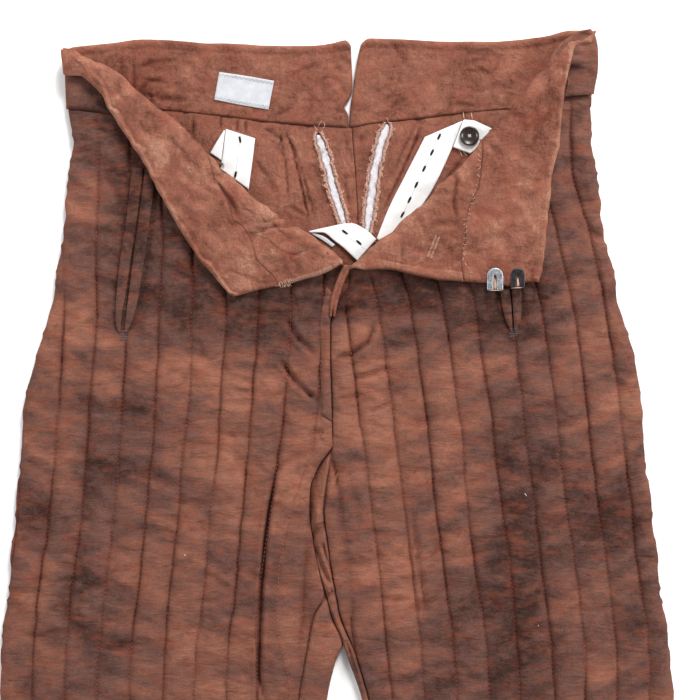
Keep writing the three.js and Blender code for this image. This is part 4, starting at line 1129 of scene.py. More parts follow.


def back(side):
    """A back panel: flat underneath, its lining up, and at the inner leg its outer cloth wrapped
    round to the inseam."""
    top = np.full((BACK_COUNT, 1), 428.0)
    for _ in range(3):
        top = curve(BACK_SEAM["x"], BACK_SEAM["y"], back_columns(side, top)[0]) - SEAM / 2
    levels = np.concatenate([np.arange(HEM, THIGH, 8), np.linspace(THIGH, CROTCH, 168),
                             np.linspace(CROTCH + 3, 250, 12), np.arange(252, 400, 2.1)])
    y = np.concatenate([np.broadcast_to(levels, (BACK_COUNT, len(levels))),
                        400 + (top - 400) * np.linspace(0, 1, 20)[None, :]], 1)
    x, offset, wrap = back_columns(side, y)
    seed = 131 if side == "left" else 137
    shown = clear_of_flaps(x, y)
    first, second = torn(side, y)
    rip_foot, rip_head = RIPS[side]["y"][[-1, 0]]
    beyond = 20 * ((y < rip_foot - 3) | (y > rip_head + 3))
    by_rip = np.minimum(np.abs(x - first), np.abs(x - second)) + beyond
    creases = 1.3 * creased(x, y, BACK_CREASES[side])
    lumps = 0.6 * noise(x / 19, y / 26, seed) + 0.4 * noise(x / 7, y / 11, seed + 1)
    lumps = lumps + 0.16 * noise(x / 3.4, y / 4, seed + 2) - 1.0 * wrinkles(x, y, 10, 14, seed + 3)
    leg = y < CROTCH
    turned = leg * (offset <= wrap + 0.01) * (0.25 + 0.75 * ease(0, 1.8, wrap - offset))
    lift = (RAISED - WALL) * ease(3, 7, wrap) * turned
    free = shown * (y > 200) * eased_off(x, y, PRESSED_BACK)
    gathers = 0.8 * noise(x / 4.2, y / 14, seed + 6) * hump(top - y, 9)
    high = WALL + lift + (lumps + creases + gathers) * np.maximum(free, ease(3, 7, wrap) * turned)
    high = high + 1.1 * hump(by_rip, 2.4) * free
    side_off = offset[-1:] - offset
    inner = rounded(offset, np.where(leg, 4.5, 1.6), np.where(leg, np.where(y < -45, 0.12, 0.42), 0.62))
    rim = np.minimum(inner, rounded(np.minimum(side_off, y - HEM)))
    rim = np.minimum(rim, rounded(top - y, 2.0, 0.62))
    middle = WALL / 2
    outer = stacked(x, y, middle + (np.maximum(high, 1.4) - middle) * rim)
    under = stacked(x, y, middle - middle * rim)
    rows = np.where((y[0] > rip_foot) & (y[0] < rip_head + 2))[0]
    hole = (rows[0], rows[-1], *RIP_COLUMNS)
    strip = (offset < wrap + 0.5) & (y < 140)
    # Painted highlight along the ridge of the wrapped strip.
    pale = 0.45 * hump(off_path(x, y, HIGHLIGHT_RIDGE)[0], 2.4)
    tone = 0.36 + 0.1 * noise(x / 30, y / 24, seed + 4) + 0.6 * hump(by_rip, 3.2)
    # Painted shade: the lining grows darker from y 330 down to y 262, in the narrow opening between the
    # turned-out corners.
    tone = tone - 0.4 * ease(330, 262, y) + 0.06 * shown + 0.2 * blot(x, y, (-85, 400), (40, 30))
    uneven = 0.7 + 0.3 * noise(x / 5, 0.5, seed + 8)
    # Painted shade: darker along the waistband seam, partly the seam's own colour, in creases and wrinkles,
    # along the middle edge above the crotch, and beside the inner edge of the wrapped strip.
    dark = uneven * hump(top - y, 1.4) + np.clip(-creases, 0, 3) * np.where(leg, 0.16, 0.7)
    dark += 0.4 * wrinkles(x, y, 10, 14, seed + 3) * free + 0.25 * hump(offset, 1.2) * (y > CROTCH)
    dark += 0.8 * hump(offset, 5) * (y < 132) * (y > 36) * (side == "right")
    dye_and_shade = np.where(strip, np.clip(dye_and_shade_of(x, y) + 0.08 + pale, 0, 1), tone)
    piece = panel("back_cloth_" + side, outer, under, [LINING, CLOTH], (dye_and_shade, dye_and_shade),
                  (np.clip(dark, 0, 1.9), 0 * dark), hole, strip.T[1:, 1:])
    return piece, {"x": x, "y": y, "outer": outer}


def wadding(side):
    """The strip of wadding that shows in a rip, lumpy and a little below the torn edges."""
    low, high = RIPS[side]["y"][-1], RIPS[side]["y"][0]
    y = np.linspace(low + 1.5, high + 1.2, 70)[None, :]
    first, second = torn(side, y)
    across = np.array([0, 0.04, 0.14, 0.3, 0.5, 0.7, 0.86, 0.96, 1])[:, None]
    x = second + 0.05 + (first - second - 0.1) * across
    lump = 0.5 * noise(x / 2.6, y / 4, 141) + 0.3 * noise(x / 1.2, y / 2, 143)
    from_ends = np.minimum(y - low - 1.5, high + 1.2 - y)
    rim = np.sqrt(np.clip(1 - (2 * across - 1) ** 14, 0.4, 1)) * rounded(from_ends, 2)
    outer = stacked(x, y, 2.6 + (2.9 + lump) * rim)
    lining = stacked(x, y, 2.6 - 1.6 * rim)
    return shell("rip_wadding_strip_" + side, outer.swapaxes(0, 1), lining.swapaxes(0, 1), [WADDING])


def back_band(side):
    """Half of the back waistband, from the side seam to the notch, its lining up: flat underneath,
    lumped and creased on top, and rolled along the waist."""
    count, rows = 118, 44
    rise = NOTCH["up"] / NOTCH["up"][-1]
    t = np.linspace(0, 1, rows)[None, :] ** 0.96
    outer_x = -252 - 2 * t if side == "left" else 222.5 + 2 * t
    end = curve(rise, NOTCH[side], t) + (-GAP if side == "left" else GAP) / 2
    share = np.linspace(0, 1, count)[:, None]
    share = share + 0.012 * np.sin(2 * np.pi * share)
    x = outer_x + (end - outer_x) * share
    bottom = curve(BACK_SEAM["x"], BACK_SEAM["y"], x) + SEAM / 2
    waist = curve(BACK_WAIST["x"], BACK_WAIST["y"], x) + 0.5 * noise(x / 16, 0.3, 151)
    notch_corner = 6 * np.clip(1 - np.abs(end - x) / (6 if side == "left" else 9), 0, 1) ** 2
    waist = waist - notch_corner - 6 * np.clip(1 - np.abs(outer_x - x) / 8, 0, 1) ** 2
    y = bottom + (waist - bottom) * t
    seed = 153 if side == "left" else 157
    shown = clear_of_flaps(x, y)
    lumps = 0.9 * noise(x / 26, y / 15, seed) + 0.7 * noise(x / 9, y / 8, seed + 1) + 0.5
    lumps = lumps + 0.2 * noise(x / 3.4, y / 3.6, seed + 2) - 1.3 * wrinkles(x, y, 13, 12, seed + 5)
    creases = creased(x, y, BAND_CREASES[side])
    down = waist - y
    rolled = 0.7 * hump(down - 4, 3) - 0.7 * hump(down - 8.5, 1.2)
    gathers = 0.8 * noise(x / 4.2, y / 14, seed + 6) * hump(y - bottom, 9)
    high = WALL + (lumps + creases + rolled + gathers) * shown * eased_off(x, y, PRESSED_BACK)
    edge = np.minimum(np.abs(x - end), np.abs(x - outer_x))
    rim = np.minimum(rounded(np.minimum(waist - y, edge), 2.6), rounded(y - bottom, 2.0, 0.62))
    middle = WALL / 2
    outer = stacked(x, y, middle + (high - middle) * rim)
    under = stacked(x, y, middle - middle * rim)
    tone = 0.4 + 0.12 * noise(x / 34, y / 18, seed + 3) + 0.2 * hump(down, 3)
    tone = tone - 0.22 * blot(x, y, (-188, 462), (34, 26))
    # Painted shade: darker along the seam, partly the seam's own colour, in creases and wrinkles, and in the
    # groove under the rolled waist edge.
    dark = (0.7 + 0.3 * noise(x / 5, 0.5, seed + 8)) * hump(y - bottom, 1.4)
    dark += np.clip(-creases, 0, 1.5) * 0.5
    dark += 0.18 * hump(down - 8.5, 1) + 0.35 * wrinkles(x, y, 13, 12, seed + 5)
    piece = panel("back_band_" + side, outer, under, [LINING, CLOTH], (tone, dye_and_shade_of(x, y)),
                  (np.clip(dark, 0, 1), 0 * dark))
    return piece, {"x": x, "y": y, "outer": outer}


BACK_SHAPES = []
for side in SIDES:
    cloth, shape = back(side)
    BACK_SHAPES.append(shape)
    declare(cloth, ["back_" + side])
    trim(wadding(side), ["rip_wadding_" + side])
    cloth, shape = back_band(side)
    BACK_SHAPES.append(shape)
    declare(cloth, ["back_waistband_" + side])


# ---- front waistbands ----
def front_band(side):
    """The waistband of a front above its seam, folded over with it: straight lines from the seam's
    points to the waist's, with a piped and tufted free edge on the upturned lining."""
    fold, waist, way = FOLDS[side], FRONT_WAIST[side], INWARD[side]
    base = FRONT_SHAPES[side]
    bx, by = base["x"][:, -1:], base["top"][:, None] + SEAM
    ends = np.sort(way * waist["x"][[0, -1]])
    part = (way * bx - way * bx[0]) / (way * bx[-1] - way * bx[0])
    tx = way * (ends[0] + (ends[1] - ends[0]) * part)
    ty = curve(waist["x"], waist["y"], tx) + 0.7 * noise(tx / 15, 0.4, 161) + 0.7 * noise(tx / 6, 2.4, 161)
    a, _, past = fold.split(tx, ty)
    even = 1.6 * fold.rough(a) * ease(FOLD_RADIUS, 30, past)
    tx, ty = tx + even * fold.out[0], ty + even * fold.out[1]
    samples = np.linspace(-1, 2, 700)[None, :]
    beyond = fold.split(bx + (tx - bx) * samples, by + (ty - by) * samples)[2]
    turn = FOLD_RADIUS * np.linspace(-1, 1, 15)
    bends = np.array([np.interp(turn, row, samples[0]) for row in beyond])
    low, high, room = 12, 28, 0.005
    order = np.arange(len(turn))[None, :]
    bends = np.clip(bends, (low + order) * room, 1 - (high + len(turn) - order) * room)
    t = np.concatenate([bends[:, :1] * np.linspace(0, 1, low, endpoint=False), bends,
                        bends[:, -1:] + (1 - bends[:, -1:]) * np.linspace(0, 1, high + 1)[1:]], 1)
    x, y = bx + (tx - bx) * t, by + (ty - by) * t
    d = fold.split(x, y)[2]
    height = np.hypot(tx - bx, ty - by)
    seed = 163 if side == "left" else 167
    lying = ease(-FOLD_RADIUS, -3 * FOLD_RADIUS, d)
    bumps = 0.6 * noise(x / 14, y / 6, seed) + 0.35 * noise(x / 6, y / 9, seed + 1)
    thick = FOLD_WALL + (BAND_EXTRA + 0.8 + bumps) * lying
    placed = fold.place(x, y, 0 * x)
    relief = lining_relief(side, placed, d, x / PITCH)
    down, up = height * (1 - t), height * t
    piped = 1.3 * hump(down - 2.5, 1.9) - 0.8 * hump(down - 6.5, 1.2)
    free_edge = hump(down, 8) * ease(FOLD_RADIUS, 2 * FOLD_RADIUS, d)
    tufts = 1.1 * noise(placed[..., 0] / 7 + placed[..., 1] / 4.2, placed[..., 1] / 9, seed + 7)
    relief = relief + piped * ease(FOLD_RADIUS, 2 * FOLD_RADIUS, d) + tufts * free_edge
    along = base["border"][:, -1:]
    groove = rounded(up, 1.8, np.where(d > 0, 0.86, 0.5))
    rim = np.minimum(rounded(np.minimum(down, along), 4.5), groove)
    middle = thick / 2
    outer = fold.place(x, y, middle + (thick - middle) * rim)
    lining = fold.place(x, y, middle + (-relief - middle) * rim)
    tone = 0.5 + 0.18 * noise(x / 26, y / 20, seed + 3)
    tone = tone + (0.34 + 0.2 * noise(x / 9, y / 9, seed + 4)) * hump(down, 5)
    tone = tone + 0.2 * noise(x / 8, y / 8, seed + 9) + 0.12 * tufts * free_edge
    tone = tone + toned(placed[..., 0], placed[..., 1])
    # Painted shade: darker along the seam, partly the seam's own colour, and in the groove below the piped
    # free edge.
    dark = hump(up, 1.1) + 0.4 * hump(down - 6.5, 1.1)
    piece = panel("front_band_" + side, outer, lining, [CLOTH, LINING], (dye_and_shade_of(x, y) - 0.04, tone),
                  (dark, 0.4 * dark))
    return piece, {"x": x, "y": y, "lining": lining, "d": d}


FRONT_BANDS = {}
for side in SIDES:
    cloth, shape = front_band(side)
    FRONT_BANDS[side] = shape
    declare(cloth,
            ["front_waistband_" + side])


# ---- finding a surface to lay small parts on ----
def surface(*grids):
    """A function giving the height of the nearest of the grids' points, raised by a given amount."""
    cloud = np.concatenate([g.reshape(-1, 3) for g in grids])

    def lay(path, lift=0.0):
        path = np.asarray(path, float)
        flat = path.reshape(-1, path.shape[-1])[:, :2]
        near = np.array([cloud[np.argmin(((cloud[:, :2] - p) ** 2).sum(1)), 2] for p in flat])
        return np.concatenate([flat, near[:, None] + lift], 1).reshape(*path.shape[:-1], 3)

    return lay


def level_at(height):
    """A function that lays a path at one height, raised by a given amount."""
    def lay(path, lift=0.0):
        path = np.asarray(path, float)
        return np.concatenate([path, np.full((*path.shape[:-1], 1), height + lift)], -1)

    return lay


def facing_up(shape):
    """The lining of a flap, from its fold on."""
    return shape["lining"][shape["d"] > FOLD_RADIUS]


ON_FLAP = {side: surface(facing_up(FRONT_SHAPES[side]), facing_up(FRONT_BANDS[side])) for side in SIDES}
ON_BACK = surface(*[shape["outer"][shape["y"] > 200] for shape in BACK_SHAPES])
ON_FRONT = surface(*[shape["outer"][shape["d"] < -FOLD_RADIUS] for shape in FRONT_SHAPES.values()])


def strap(name, first, second, low, thick, material, count=60, across=9, wave=0.15, seed=171, rim=1.0,
          dye_and_shade=0.5):
    """A flat strap between two edge paths: a closed shell with rounded edges, a little wavy."""
    a, _ = along_path(first, count)
    b, _ = along_path(second, count)
    t = np.concatenate([[0, 0.02], np.linspace(0.06, 0.94, across - 4), [0.98, 1]])[None, :, None]
    grid = a[:, None] * (1 - t) + b[:, None] * t
    x, y = grid[..., 0], grid[..., 1]
    width = np.linalg.norm(a - b, axis=1)[:, None]
    off = np.minimum(t[..., 0], 1 - t[..., 0]) * width
    run = np.linspace(0, 1, count)[:, None] * np.linalg.norm(np.diff(a, axis=0), axis=1).sum()
    off = np.minimum(off, np.minimum(run, run[-1] - run))
    level = np.broadcast_to(low, x.shape) + wave * np.abs(noise(x / 9, y / 9, seed))
    full = np.sqrt(np.clip(1 - (1 - np.clip(off / rim, 0, 1)) ** 2, 0.1, 1))
    outer = stacked(x, y, level + thick * (0.5 + 0.5 * full))
    lining = stacked(x, y, level + thick * (0.5 - 0.5 * full))
    spread = (t[..., 0] - 0.5) * width
    dull = 0.0 * x
    tone = dull + dye_and_shade
    return shell(name, outer, lining, [material],
                 {"across": (spread, spread), "stitch_and_shade": (dull, dull), "dye_and_shade": (tone, tone)})


def dashes(name, marks, level, length=6.2, half=0.8):
    """Black woven dashes: flat tufts, each at a point with a direction in degrees."""
    lines = []
    for x, y, turn in marks:
        c, s = math.cos(math.radians(turn)), math.sin(math.radians(turn))
        for side_step in (-1, 0, 1):
            sx, sy = -s * side_step * half * 0.75, c * side_step * half * 0.75
            run = np.linspace(-length / 2, length / 2, 4)[:, None] * (c, s) + (x + sx, y + sy)
            lines.append(np.concatenate([run, np.full((4, 1), level)], 1))
    return tubes(name, np.array(lines), 0.45, BLACK_THREAD, 6)


# ---- trim ----
def lathe(name, profile, centre, material, count=40, clip=None):
    """A turned solid about an upright axis from (radius, height) points. clip is a line, as a
    point and the direction kept, past which the solid is cut off square."""
    radius, height = np.array(profile, float).T
    angle = np.arange(count) * 2 * np.pi / count
    x = centre[0] + radius[:, None] * np.cos(angle)
    y = centre[1] + radius[:, None] * np.sin(angle)
    if clip:
        (px, py), (nx, ny) = clip
        past = np.minimum((x - px) * nx + (y - py) * ny, 0)
        x, y = x - past * nx, y - past * ny
    points = stacked(x, y, centre[2] + height[:, None] + 0 * x).reshape(-1, 3)
    faces = closed_rings(count, len(radius))
    if signed_volume(points, faces) < 0:
        faces = faces[:, ::-1]
    return new_mesh(name, points, faces, [material])


# radius and height of a button from its underside over its rim to its sunk middle
BUTTON_PROFILE = [(0.1, 0), (7.4, 0), (8.3, 0.4), (8.8, 1.2), (8.8, 2.2), (8.5, 2.8), (7.9, 3.2),
                  (7.2, 3.1), (6.6, 2.6), (6.0, 2.2), (5.2, 2.1), (4.6, 1.9), (2.5, 1.75), (0.1, 1.7)]


def thread_cross(name, x, y, z, material, reach=1.9):
    """Thread through the four holes of a button, crossed on top."""
    t = np.linspace(-1, 1, 7)
    lines = []
    for turn in (0.9, 2.45):
        for step in (-0.35, 0.35):
            cx, cy = math.cos(turn), math.sin(turn)
            lines.append(np.stack([x + cx * t * reach - cy * step, y + cy * t * reach + cx * step,
                                   z + 0.55 * (1 - t ** 4) + 0.12 * (turn > 1)], 1))
    return tubes(name, np.array(lines), 0.34, material, 6)


def spaced(at, run, points):
    """The points at given lengths along straight segments, run being the lengths of their ends."""
    return np.stack([np.interp(at, run, points[:, k]) for k in range(points.shape[1])], 1)


def polyline(points, count):
    """Points evenly spaced along straight segments, as one thread."""
    points = np.asarray(points, float)
    run = run_along(points)
    return spaced(np.linspace(0, run[-1], count), run, points)


def short_threads(name, lay, pairs, material, lift=0.35, radius=0.3):
    """Short threads lying on a surface, each given by its two ends."""
    t = np.linspace(0, 1, 5)[None, :, None]
    ends = np.array(pairs, float).reshape(-1, 2, 2)
    flat = ends[:, :1] * (1 - t) + ends[:, 1:] * t
    lines = lay(flat, lift)
    lines[:, [0, -1], 2] -= 0.4
    return tubes(name, lines, radius, material, 6)


def strands(name, starts, ways, length, seed, material, radius=0.2):
    """Loose ends of thread: each leaves its start, rises a little, curls aside and comes down."""
    rng = np.random.default_rng(seed)
    starts, ways = np.asarray(starts, float), np.asarray(ways, float)
    count = len(starts)
    t = np.linspace(0, 1, 6)[None, :]
    turn = np.arctan2(ways[:, 1], ways[:, 0]) + rng.uniform(-0.7, 0.7, count)
    curl = rng.uniform(-1.6, 1.6, count)
    size = length * rng.uniform(0.5, 1.25, count)
    heading = turn[:, None] + curl[:, None] * t
    x = starts[:, :1] + size[:, None] * t * np.cos(heading)
    y = starts[:, 1:2] + size[:, None] * t * np.sin(heading)
    z = starts[:, 2:3] + rng.uniform(0.4, 1.3, count)[:, None] * np.sin(np.pi * t * 0.85)
    return tubes(name, np.stack([x, y, z], -1), radius, material, 4)


# label, blank, caught down along its top and bottom by a zigzag
LABEL_TOP = [(-113.5, 471), (-89, 467.4), (-64, 463)]
LABEL_FOOT = [(-118, 446), (-94, 441.2), (-69, 437)]


def zigzag(first, second, inset, width, teeth):
    """A zigzag near the first of two edges, between insets measured towards the second."""
    a, b = polyline(first, teeth), polyline(second, teeth)
    away = (b - a) / np.linalg.norm(b - a, axis=1)[:, None]
    step = inset + width * (np.arange(teeth) % 2)[:, None]
    flat = a + away * step
    return polyline(np.concatenate([flat, np.full((teeth, 1), LAID + 1.05)], 1), teeth * 4)


trim(strap("blank_label", LABEL_TOP, LABEL_FOOT, LAID, 0.7, TAPE, 40, 17, 0.35, 173, 0.5),
     ["label"])
label_rows = [zigzag(LABEL_TOP, LABEL_FOOT, 1.2, 2.4, 27), zigzag(LABEL_FOOT, LABEL_TOP, 1.2, 2.4, 27)]
trim(tubes("label_stitching", label_rows, 0.24, GREY_THREAD, 6))

# Elastic on the lining of the back: name, the part it replaces, its two edges, height above the
# lining, thickness, material, points along and across, wave, seed and round of its edges.
ELASTICS = [
    ("elastic_strap_right", "elastic_right",
     [(72, 412.4), (55, 379), (38.5, 346), (28.5, 320.5)],
     [(106, 427), (97, 403.5), (72, 354), (46, 327.5), (34, 316)], 0, 1.1, ELASTIC, 90, 13, 0.2, 175, 0.7),
    ("elastic_end_right", "elastic_right",
     [(97.4, 403), (100, 410), (103.5, 419), (107.6, 427.8), (116.5, 427)],
     [(113, 397.2), (122, 404.5), (127.5, 409), (134, 416.5), (132, 420)],
     1.5, 1.1, ELASTIC, 40, 13, 0.2, 177, 0.7),
    ("elastic_strap_centre", "elastic_centre",
     [(-32.4, 327.4), (-20.7, 330), (5.4, 334.5), (18, 329.1), (28.4, 320)],
     [(-32.4, 326.2), (-20.7, 326.2), (-9, 318.3), (-0.9, 312), (11, 300.5)],
     1.5, 1.1, ELASTIC, 60, 13, 0.3, 179, 0.7),
    # The turned-under loop takes the greyer tape material as painted shade on the underside of the white
    # elastic.
    ("elastic_loop_centre", "elastic_centre",
     [(-31, 326.6), (-20, 323), (-9, 315.2)],
     [(-30, 324.6), (-21, 319.6), (-11.6, 313)], 0.1, 1.0, TAPE, 40, 9, 0.3, 181, 0.6),
    ("elastic_strap_left", "elastic_left",
     [(-107.5, 419.6), (-110, 399), (-112.5, 383.5)],
     [(-81, 411), (-84, 387), (-87, 365)], 0.3, 1.1, ELASTIC, 60, 13, 0.2, 183, 0.7),
    ("elastic_turned_left", "elastic_left",
     [(-108.2, 418), (-110.2, 402), (-111.6, 391)],
     [(-109, 418.8), (-116, 407.6), (-121.6, 398)], 0, 1.0, ELASTIC, 40, 9, 0.2, 185, 0.6)]
for name, part, first, second, lift, *rest in ELASTICS:
    trim(strap(name, first, second, LAID + lift, *rest), [part])

# Woven dashes, each with its direction in degrees, and the line down the middle of each strap.
DASHES = {
    "right": (1.25, [(84.9, 412.6, 64), (78.5, 398.4, 64), (71.3, 383.6, 64), (64.3, 369.2, 64),
                     (58.2, 355.6, 63), (51.8, 342.2, 61)]),
    "left": (1.55, [(-94.7, 409.8, -81), (-98.7, 378.3, 77)]),
    "centre": (2.85, [(-0.1, 326.4, -35), (12.5, 317, -41)])}
for name, (lift, marks) in DASHES.items():
    trim(dashes("elastic_dashes_" + name, marks, LAID + lift))
MIDDLES = [(1.2, (86.5, 416), (50, 338)), (1.5, (-94, 413), (-99.5, 373)), (2.75, (-8, 330), (18, 311))]
middle_lines = [polyline([(*a, LAID + lift), (*b, LAID + lift)], 24) for lift, a, b in MIDDLES]
trim(tubes("elastic_centre_lines", middle_lines, 0.16, GREY_THREAD, 4))

# buttons; the left one is cut off where the fold covers it
FOLD_OUT = FOLDS["left"].out
CUT_OFF = tuple(at + 5.2 * step for at, step in zip(FOLDS["left"].start, FOLD_OUT))
trim(lathe("button_and_rim_right", BUTTON_PROFILE, (112, 412.8, LAID + 2.75), BUTTON),
     ["button_right"])
trim(thread_cross("button_thread_right", 112, 412.8, LAID + 4.5, GREY_THREAD))
trim(lathe("button_and_rim_left", BUTTON_PROFILE, (-121, 384.9, LAID + 1.6), BUTTON,
           clip=(CUT_OFF, FOLD_OUT)), ["button_left"])
trim(short_threads("button_tab_stitches", level_at(LAID + 2.6), [
    ((120.4, 409.8), (125.2, 408.8)), ((129.6, 417.2), (131.6, 419)), ((131.8, 415.6), (130.2, 418))],
    BLACK_THREAD, 0.35, 0.34))
trim(short_threads("button_loops", ON_BACK, [
    ((106.6, 435), (107.5, 428.4)), ((113.8, 435), (115, 428)), ((104, 408), (108.6, 398.4)),
    ((102, 404), (106, 394)), ((106, 400), (111, 394.6))], PALE_THREAD, 0.5, 0.4))

# the waistband's corners at the side seams, rolled over: their two edges
ROLL_LEFT = ([(-255, 489.5), (-246, 490.5), (-233, 482), (-220, 475), (-207, 466), (-198, 459)],
             [(-252.5, 467.5), (-247, 466), (-238, 466), (-229, 460), (-220, 451), (-212, 441)])
ROLL_RIGHT = ([(218.5, 507.4), (211, 506), (201, 501), (192.5, 492), (187.5, 481), (190.5, 477),
               (200, 475.5), (200, 463), (197.5, 447.8)],
              [(220.5, 508.6), (224.8, 502), (226.8, 493), (227.4, 482), (227, 470), (225.5, 461),
               (223.5, 450)])


def rolled_corners():
    """Both rolled corners: the left one thickens evenly, the right one thins down its length and
    towards its second edge."""
    thick = np.linspace(7.4, 8.6, 60)[:, None]
    rolled = strap("rolled_corner_left", *ROLL_LEFT, 10.4, thick, LINING, 60, 19, 1.8, 221, 9.0, 0.62)
    trim(rolled)
    down, over = np.linspace(0, 1, 80)[:, None], np.linspace(0, 1, 19)[None, :]
    thick = 1.6 + 8.2 * (1 - ease(0.5, 0.74, down)) * (1 - 0.75 * over)
    rolled = strap("rolled_corner_right", *ROLL_RIGHT, 10.8, thick, CLOTH, 80, 19, 1.6, 223, 5.0, 0.56)
    trim(rolled)


rolled_corners()


# hook plates
def arch(name, x, y, low, width, height, slot, material):
    """A stamped plate: an arch with a slot up from its foot."""
    r, q = width / 2, slot / 2
    turn = np.linspace(np.pi, 0, 25)
    reach = y + height * 0.6
    outside = [(x - r, y), (x - r, y + 0.5 * (height - r))]
    outside += list(zip(x + r * np.cos(turn), y + height - r + r * np.sin(turn)))
    outside += [(x + r, y + 0.5 * (height - r)), (x + r, y)]
    inside = [(x - q, y), (x - q * 0.9, y + 0.3 * height)]
    inside += list(zip(x + q * 0.8 * np.cos(turn), reach + q * 0.8 * np.sin(turn)))
    inside += [(x + q * 0.9, y + 0.3 * height), (x + q, y)]
    return strap(name, outside, inside, low, 1.3, material, 90, 11, 0.0, 187, 0.9)


HOOK_LEVEL = INSIDE + 2 * FOLD_RADIUS - SETTLE + GAP
trim(arch("steel_hook_plate", 134.5, 273.8, HOOK_LEVEL, 14.4, 20, 3.4, STEEL),
     ["waist_hook_steel"])
trim(arch("black_hook_plate", 154.8, 276.2, HOOK_LEVEL, 12.6, 17.4, 3.0, BLACK_METAL),
     ["waist_hook_black"])
trim(short_threads("hook_threads", level_at(HOOK_LEVEL + 0.4), [
    ((133.6, 274), (134.2, 284.6)), ((134.6, 273.6), (135, 283.4)), ((135.4, 274.4), (135.2, 281)),
    ((154.2, 276.4), (154.6, 284.6)), ((155, 276.2), (155.2, 284.2)), ((155.8, 277), (155.4, 282)),
    ((128, 273.6), (141, 273.6)), ((148.6, 275.6), (160.6, 276.2))],
    PALE_THREAD, 0.3, 0.4))


def buttonhole(start, end):
    """A worked slit near the right corner's seam: short stitches out from it on both sides."""
    start, end = np.array(start), np.array(end)
    way = (end - start) / np.linalg.norm(end - start)
    aside = np.array([-way[1], way[0]])
    rail = start + (end - start) * np.linspace(0, 1, 17)[:, None]
    worked = [(p + aside * s * 0.5, p + aside * s * 2.6) for p in rail for s in (-1, 1)]
    on_flap = ON_FLAP["right"]
    trim(short_threads("buttonhole_stitches", on_flap, worked, PALE_THREAD, 0.3, 0.3))
    trim(short_threads("buttonhole_slit", on_flap, [(start, end)], RUST_THREAD, 0.15, 0.4))


buttonhole((82.8, 321.6), (75.6, 303.4))
trim(short_threads("red_thread_marks", ON_FLAP["left"], [
    ((-49, 305.4), (-46.6, 302.8)), ((-46.6, 305.2), (-48.6, 302.2)), ((-47.6, 306), (-47.6, 302.6)),
    ((-16.4, 308), (-14.4, 305.4)), ((-15, 308.4), (-15.4, 305.6))],
    RED_THREAD, 0.35, 0.34))


def overcast(side, spacing, material):
    """Stitches over the raw fly edge of a flap, each over the last five columns of its lining.
    Gives the points that they reach."""
    shape = FRONT_SHAPES[side]
    ring = shape["lining"][-5:, shape["d"][-1] > FOLD_RADIUS + 2]
    run = run_along(ring[-1])
    at = np.arange(1, run[-1], spacing)
    lines = np.stack([spaced(at, run, column) for column in ring], 1)
    lines[..., 2] += 0.3
    lines[:, :, 0] += 0.6 * noise(lines[:, :, 1] * 3, lines[:, :, 0] * 3, 191)
    trim(tubes("overcast_edge_" + side, lines, 0.26, material, 4))
    return lines[:, -1]


RAW_EDGE = overcast("left", 1.9, PALE_THREAD)
overcast("right", 3.1, RUST_THREAD)


# frayed edges
def frayed_rim(side, which):
    """The matted fray along one edge of a rip: a thin uneven rope lying on the lining."""
    y = np.linspace(RIPS[side]["y"][-1] + 1, RIPS[side]["y"][0] + 3, 90)
    edge = torn(side, y)[which]
    way = 1 if which == 0 else -1
    wide = 3.0 + 0.9 * noise(y / 3.1, 0.5, 217 + which) + 0.5 * noise(y / 1.4, 3.5, 217 + which)
    first = np.stack([edge + way * (0.1 + 0.4 * noise(y / 1.8, 6.5, 217)), y], 1)
    second = np.stack([edge + way * wide, y + 0.8 * noise(y / 4, 9.5, 217)], 1)
    name = f"frayed_rim_{side}_{('inner', 'outer')[which]}"
    rope = strap(name, first, second, WALL - 0.4, 2.5, FRAYED, 150, 9, 1.2, 219 + which, 1.4)
    trim(rope)


def frayed_rips(count=44):
    """Threads from both edges of each rip, leaning across it."""
    starts, ways = [], []
    for side in SIDES:
        y = np.linspace(RIPS[side]["y"][-1] + 2, RIPS[side]["y"][0] + 1, count)
        for edge_x, way in zip(torn(side, y), (1, -1)):
            starts.append(stacked(edge_x + way * 0.6, y, WALL + 1.7))
            ways.append(stacked(way * 0.6, 1.2 * noise(y * 3, 0.5, 193), 0))
    starts, ways = np.concatenate(starts), np.concatenate(ways)
    trim(strands("frayed_rips", starts, ways, 4.2, 195, PALE_THREAD, 0.3))


def frayed_seams():
    """Threads from the raw edge by the left fold, and from the seam of the right corner."""
    bump = RAW_EDGE[(RAW_EDGE[:, 0] > -72) & (RAW_EDGE[:, 0] < -50)]
    by_fold = np.repeat(bump, 2, axis=0)[:20] + (0, 0.6, 0.2)
    seam = [(119.5, 400), (118, 375), (112, 352), (106, 324), (105, 307), (111, 290)]
    by_seam = ON_FLAP["right"](along_path(seam, 26)[0], 0.2)
    starts = np.concatenate([by_fold, by_seam])
    ways = [(0.2, -1)] * len(by_fold) + [(0.6, -0.8)] * len(by_seam)
    trim(strands("frayed_seams", starts, ways, 3.2, 197, PALE_THREAD))


for side in SIDES:
    frayed_rim(side, 0)
    frayed_rim(side, 1)
frayed_rips()
frayed_seams()
LOOSE = [((-24, 421, 5.6), (0.3, 1)), ((-25, 419, 5.6), (-1, 0.6)), ((-21, 420, 5.6), (0.9, 0.5)),
         ((38, 426, 5.6), (0.4, 1)), ((40, 424, 5.6), (1, 0.2)), ((118, 378, 17.2), (0.5, -1)),
         ((104, 312, 17), (1, -0.3)), ((-58, 281, 17.5), (0.6, -1))]
trim(strands("loose_threads", *zip(*LOOSE), 5.5, 199, PALE_THREAD))


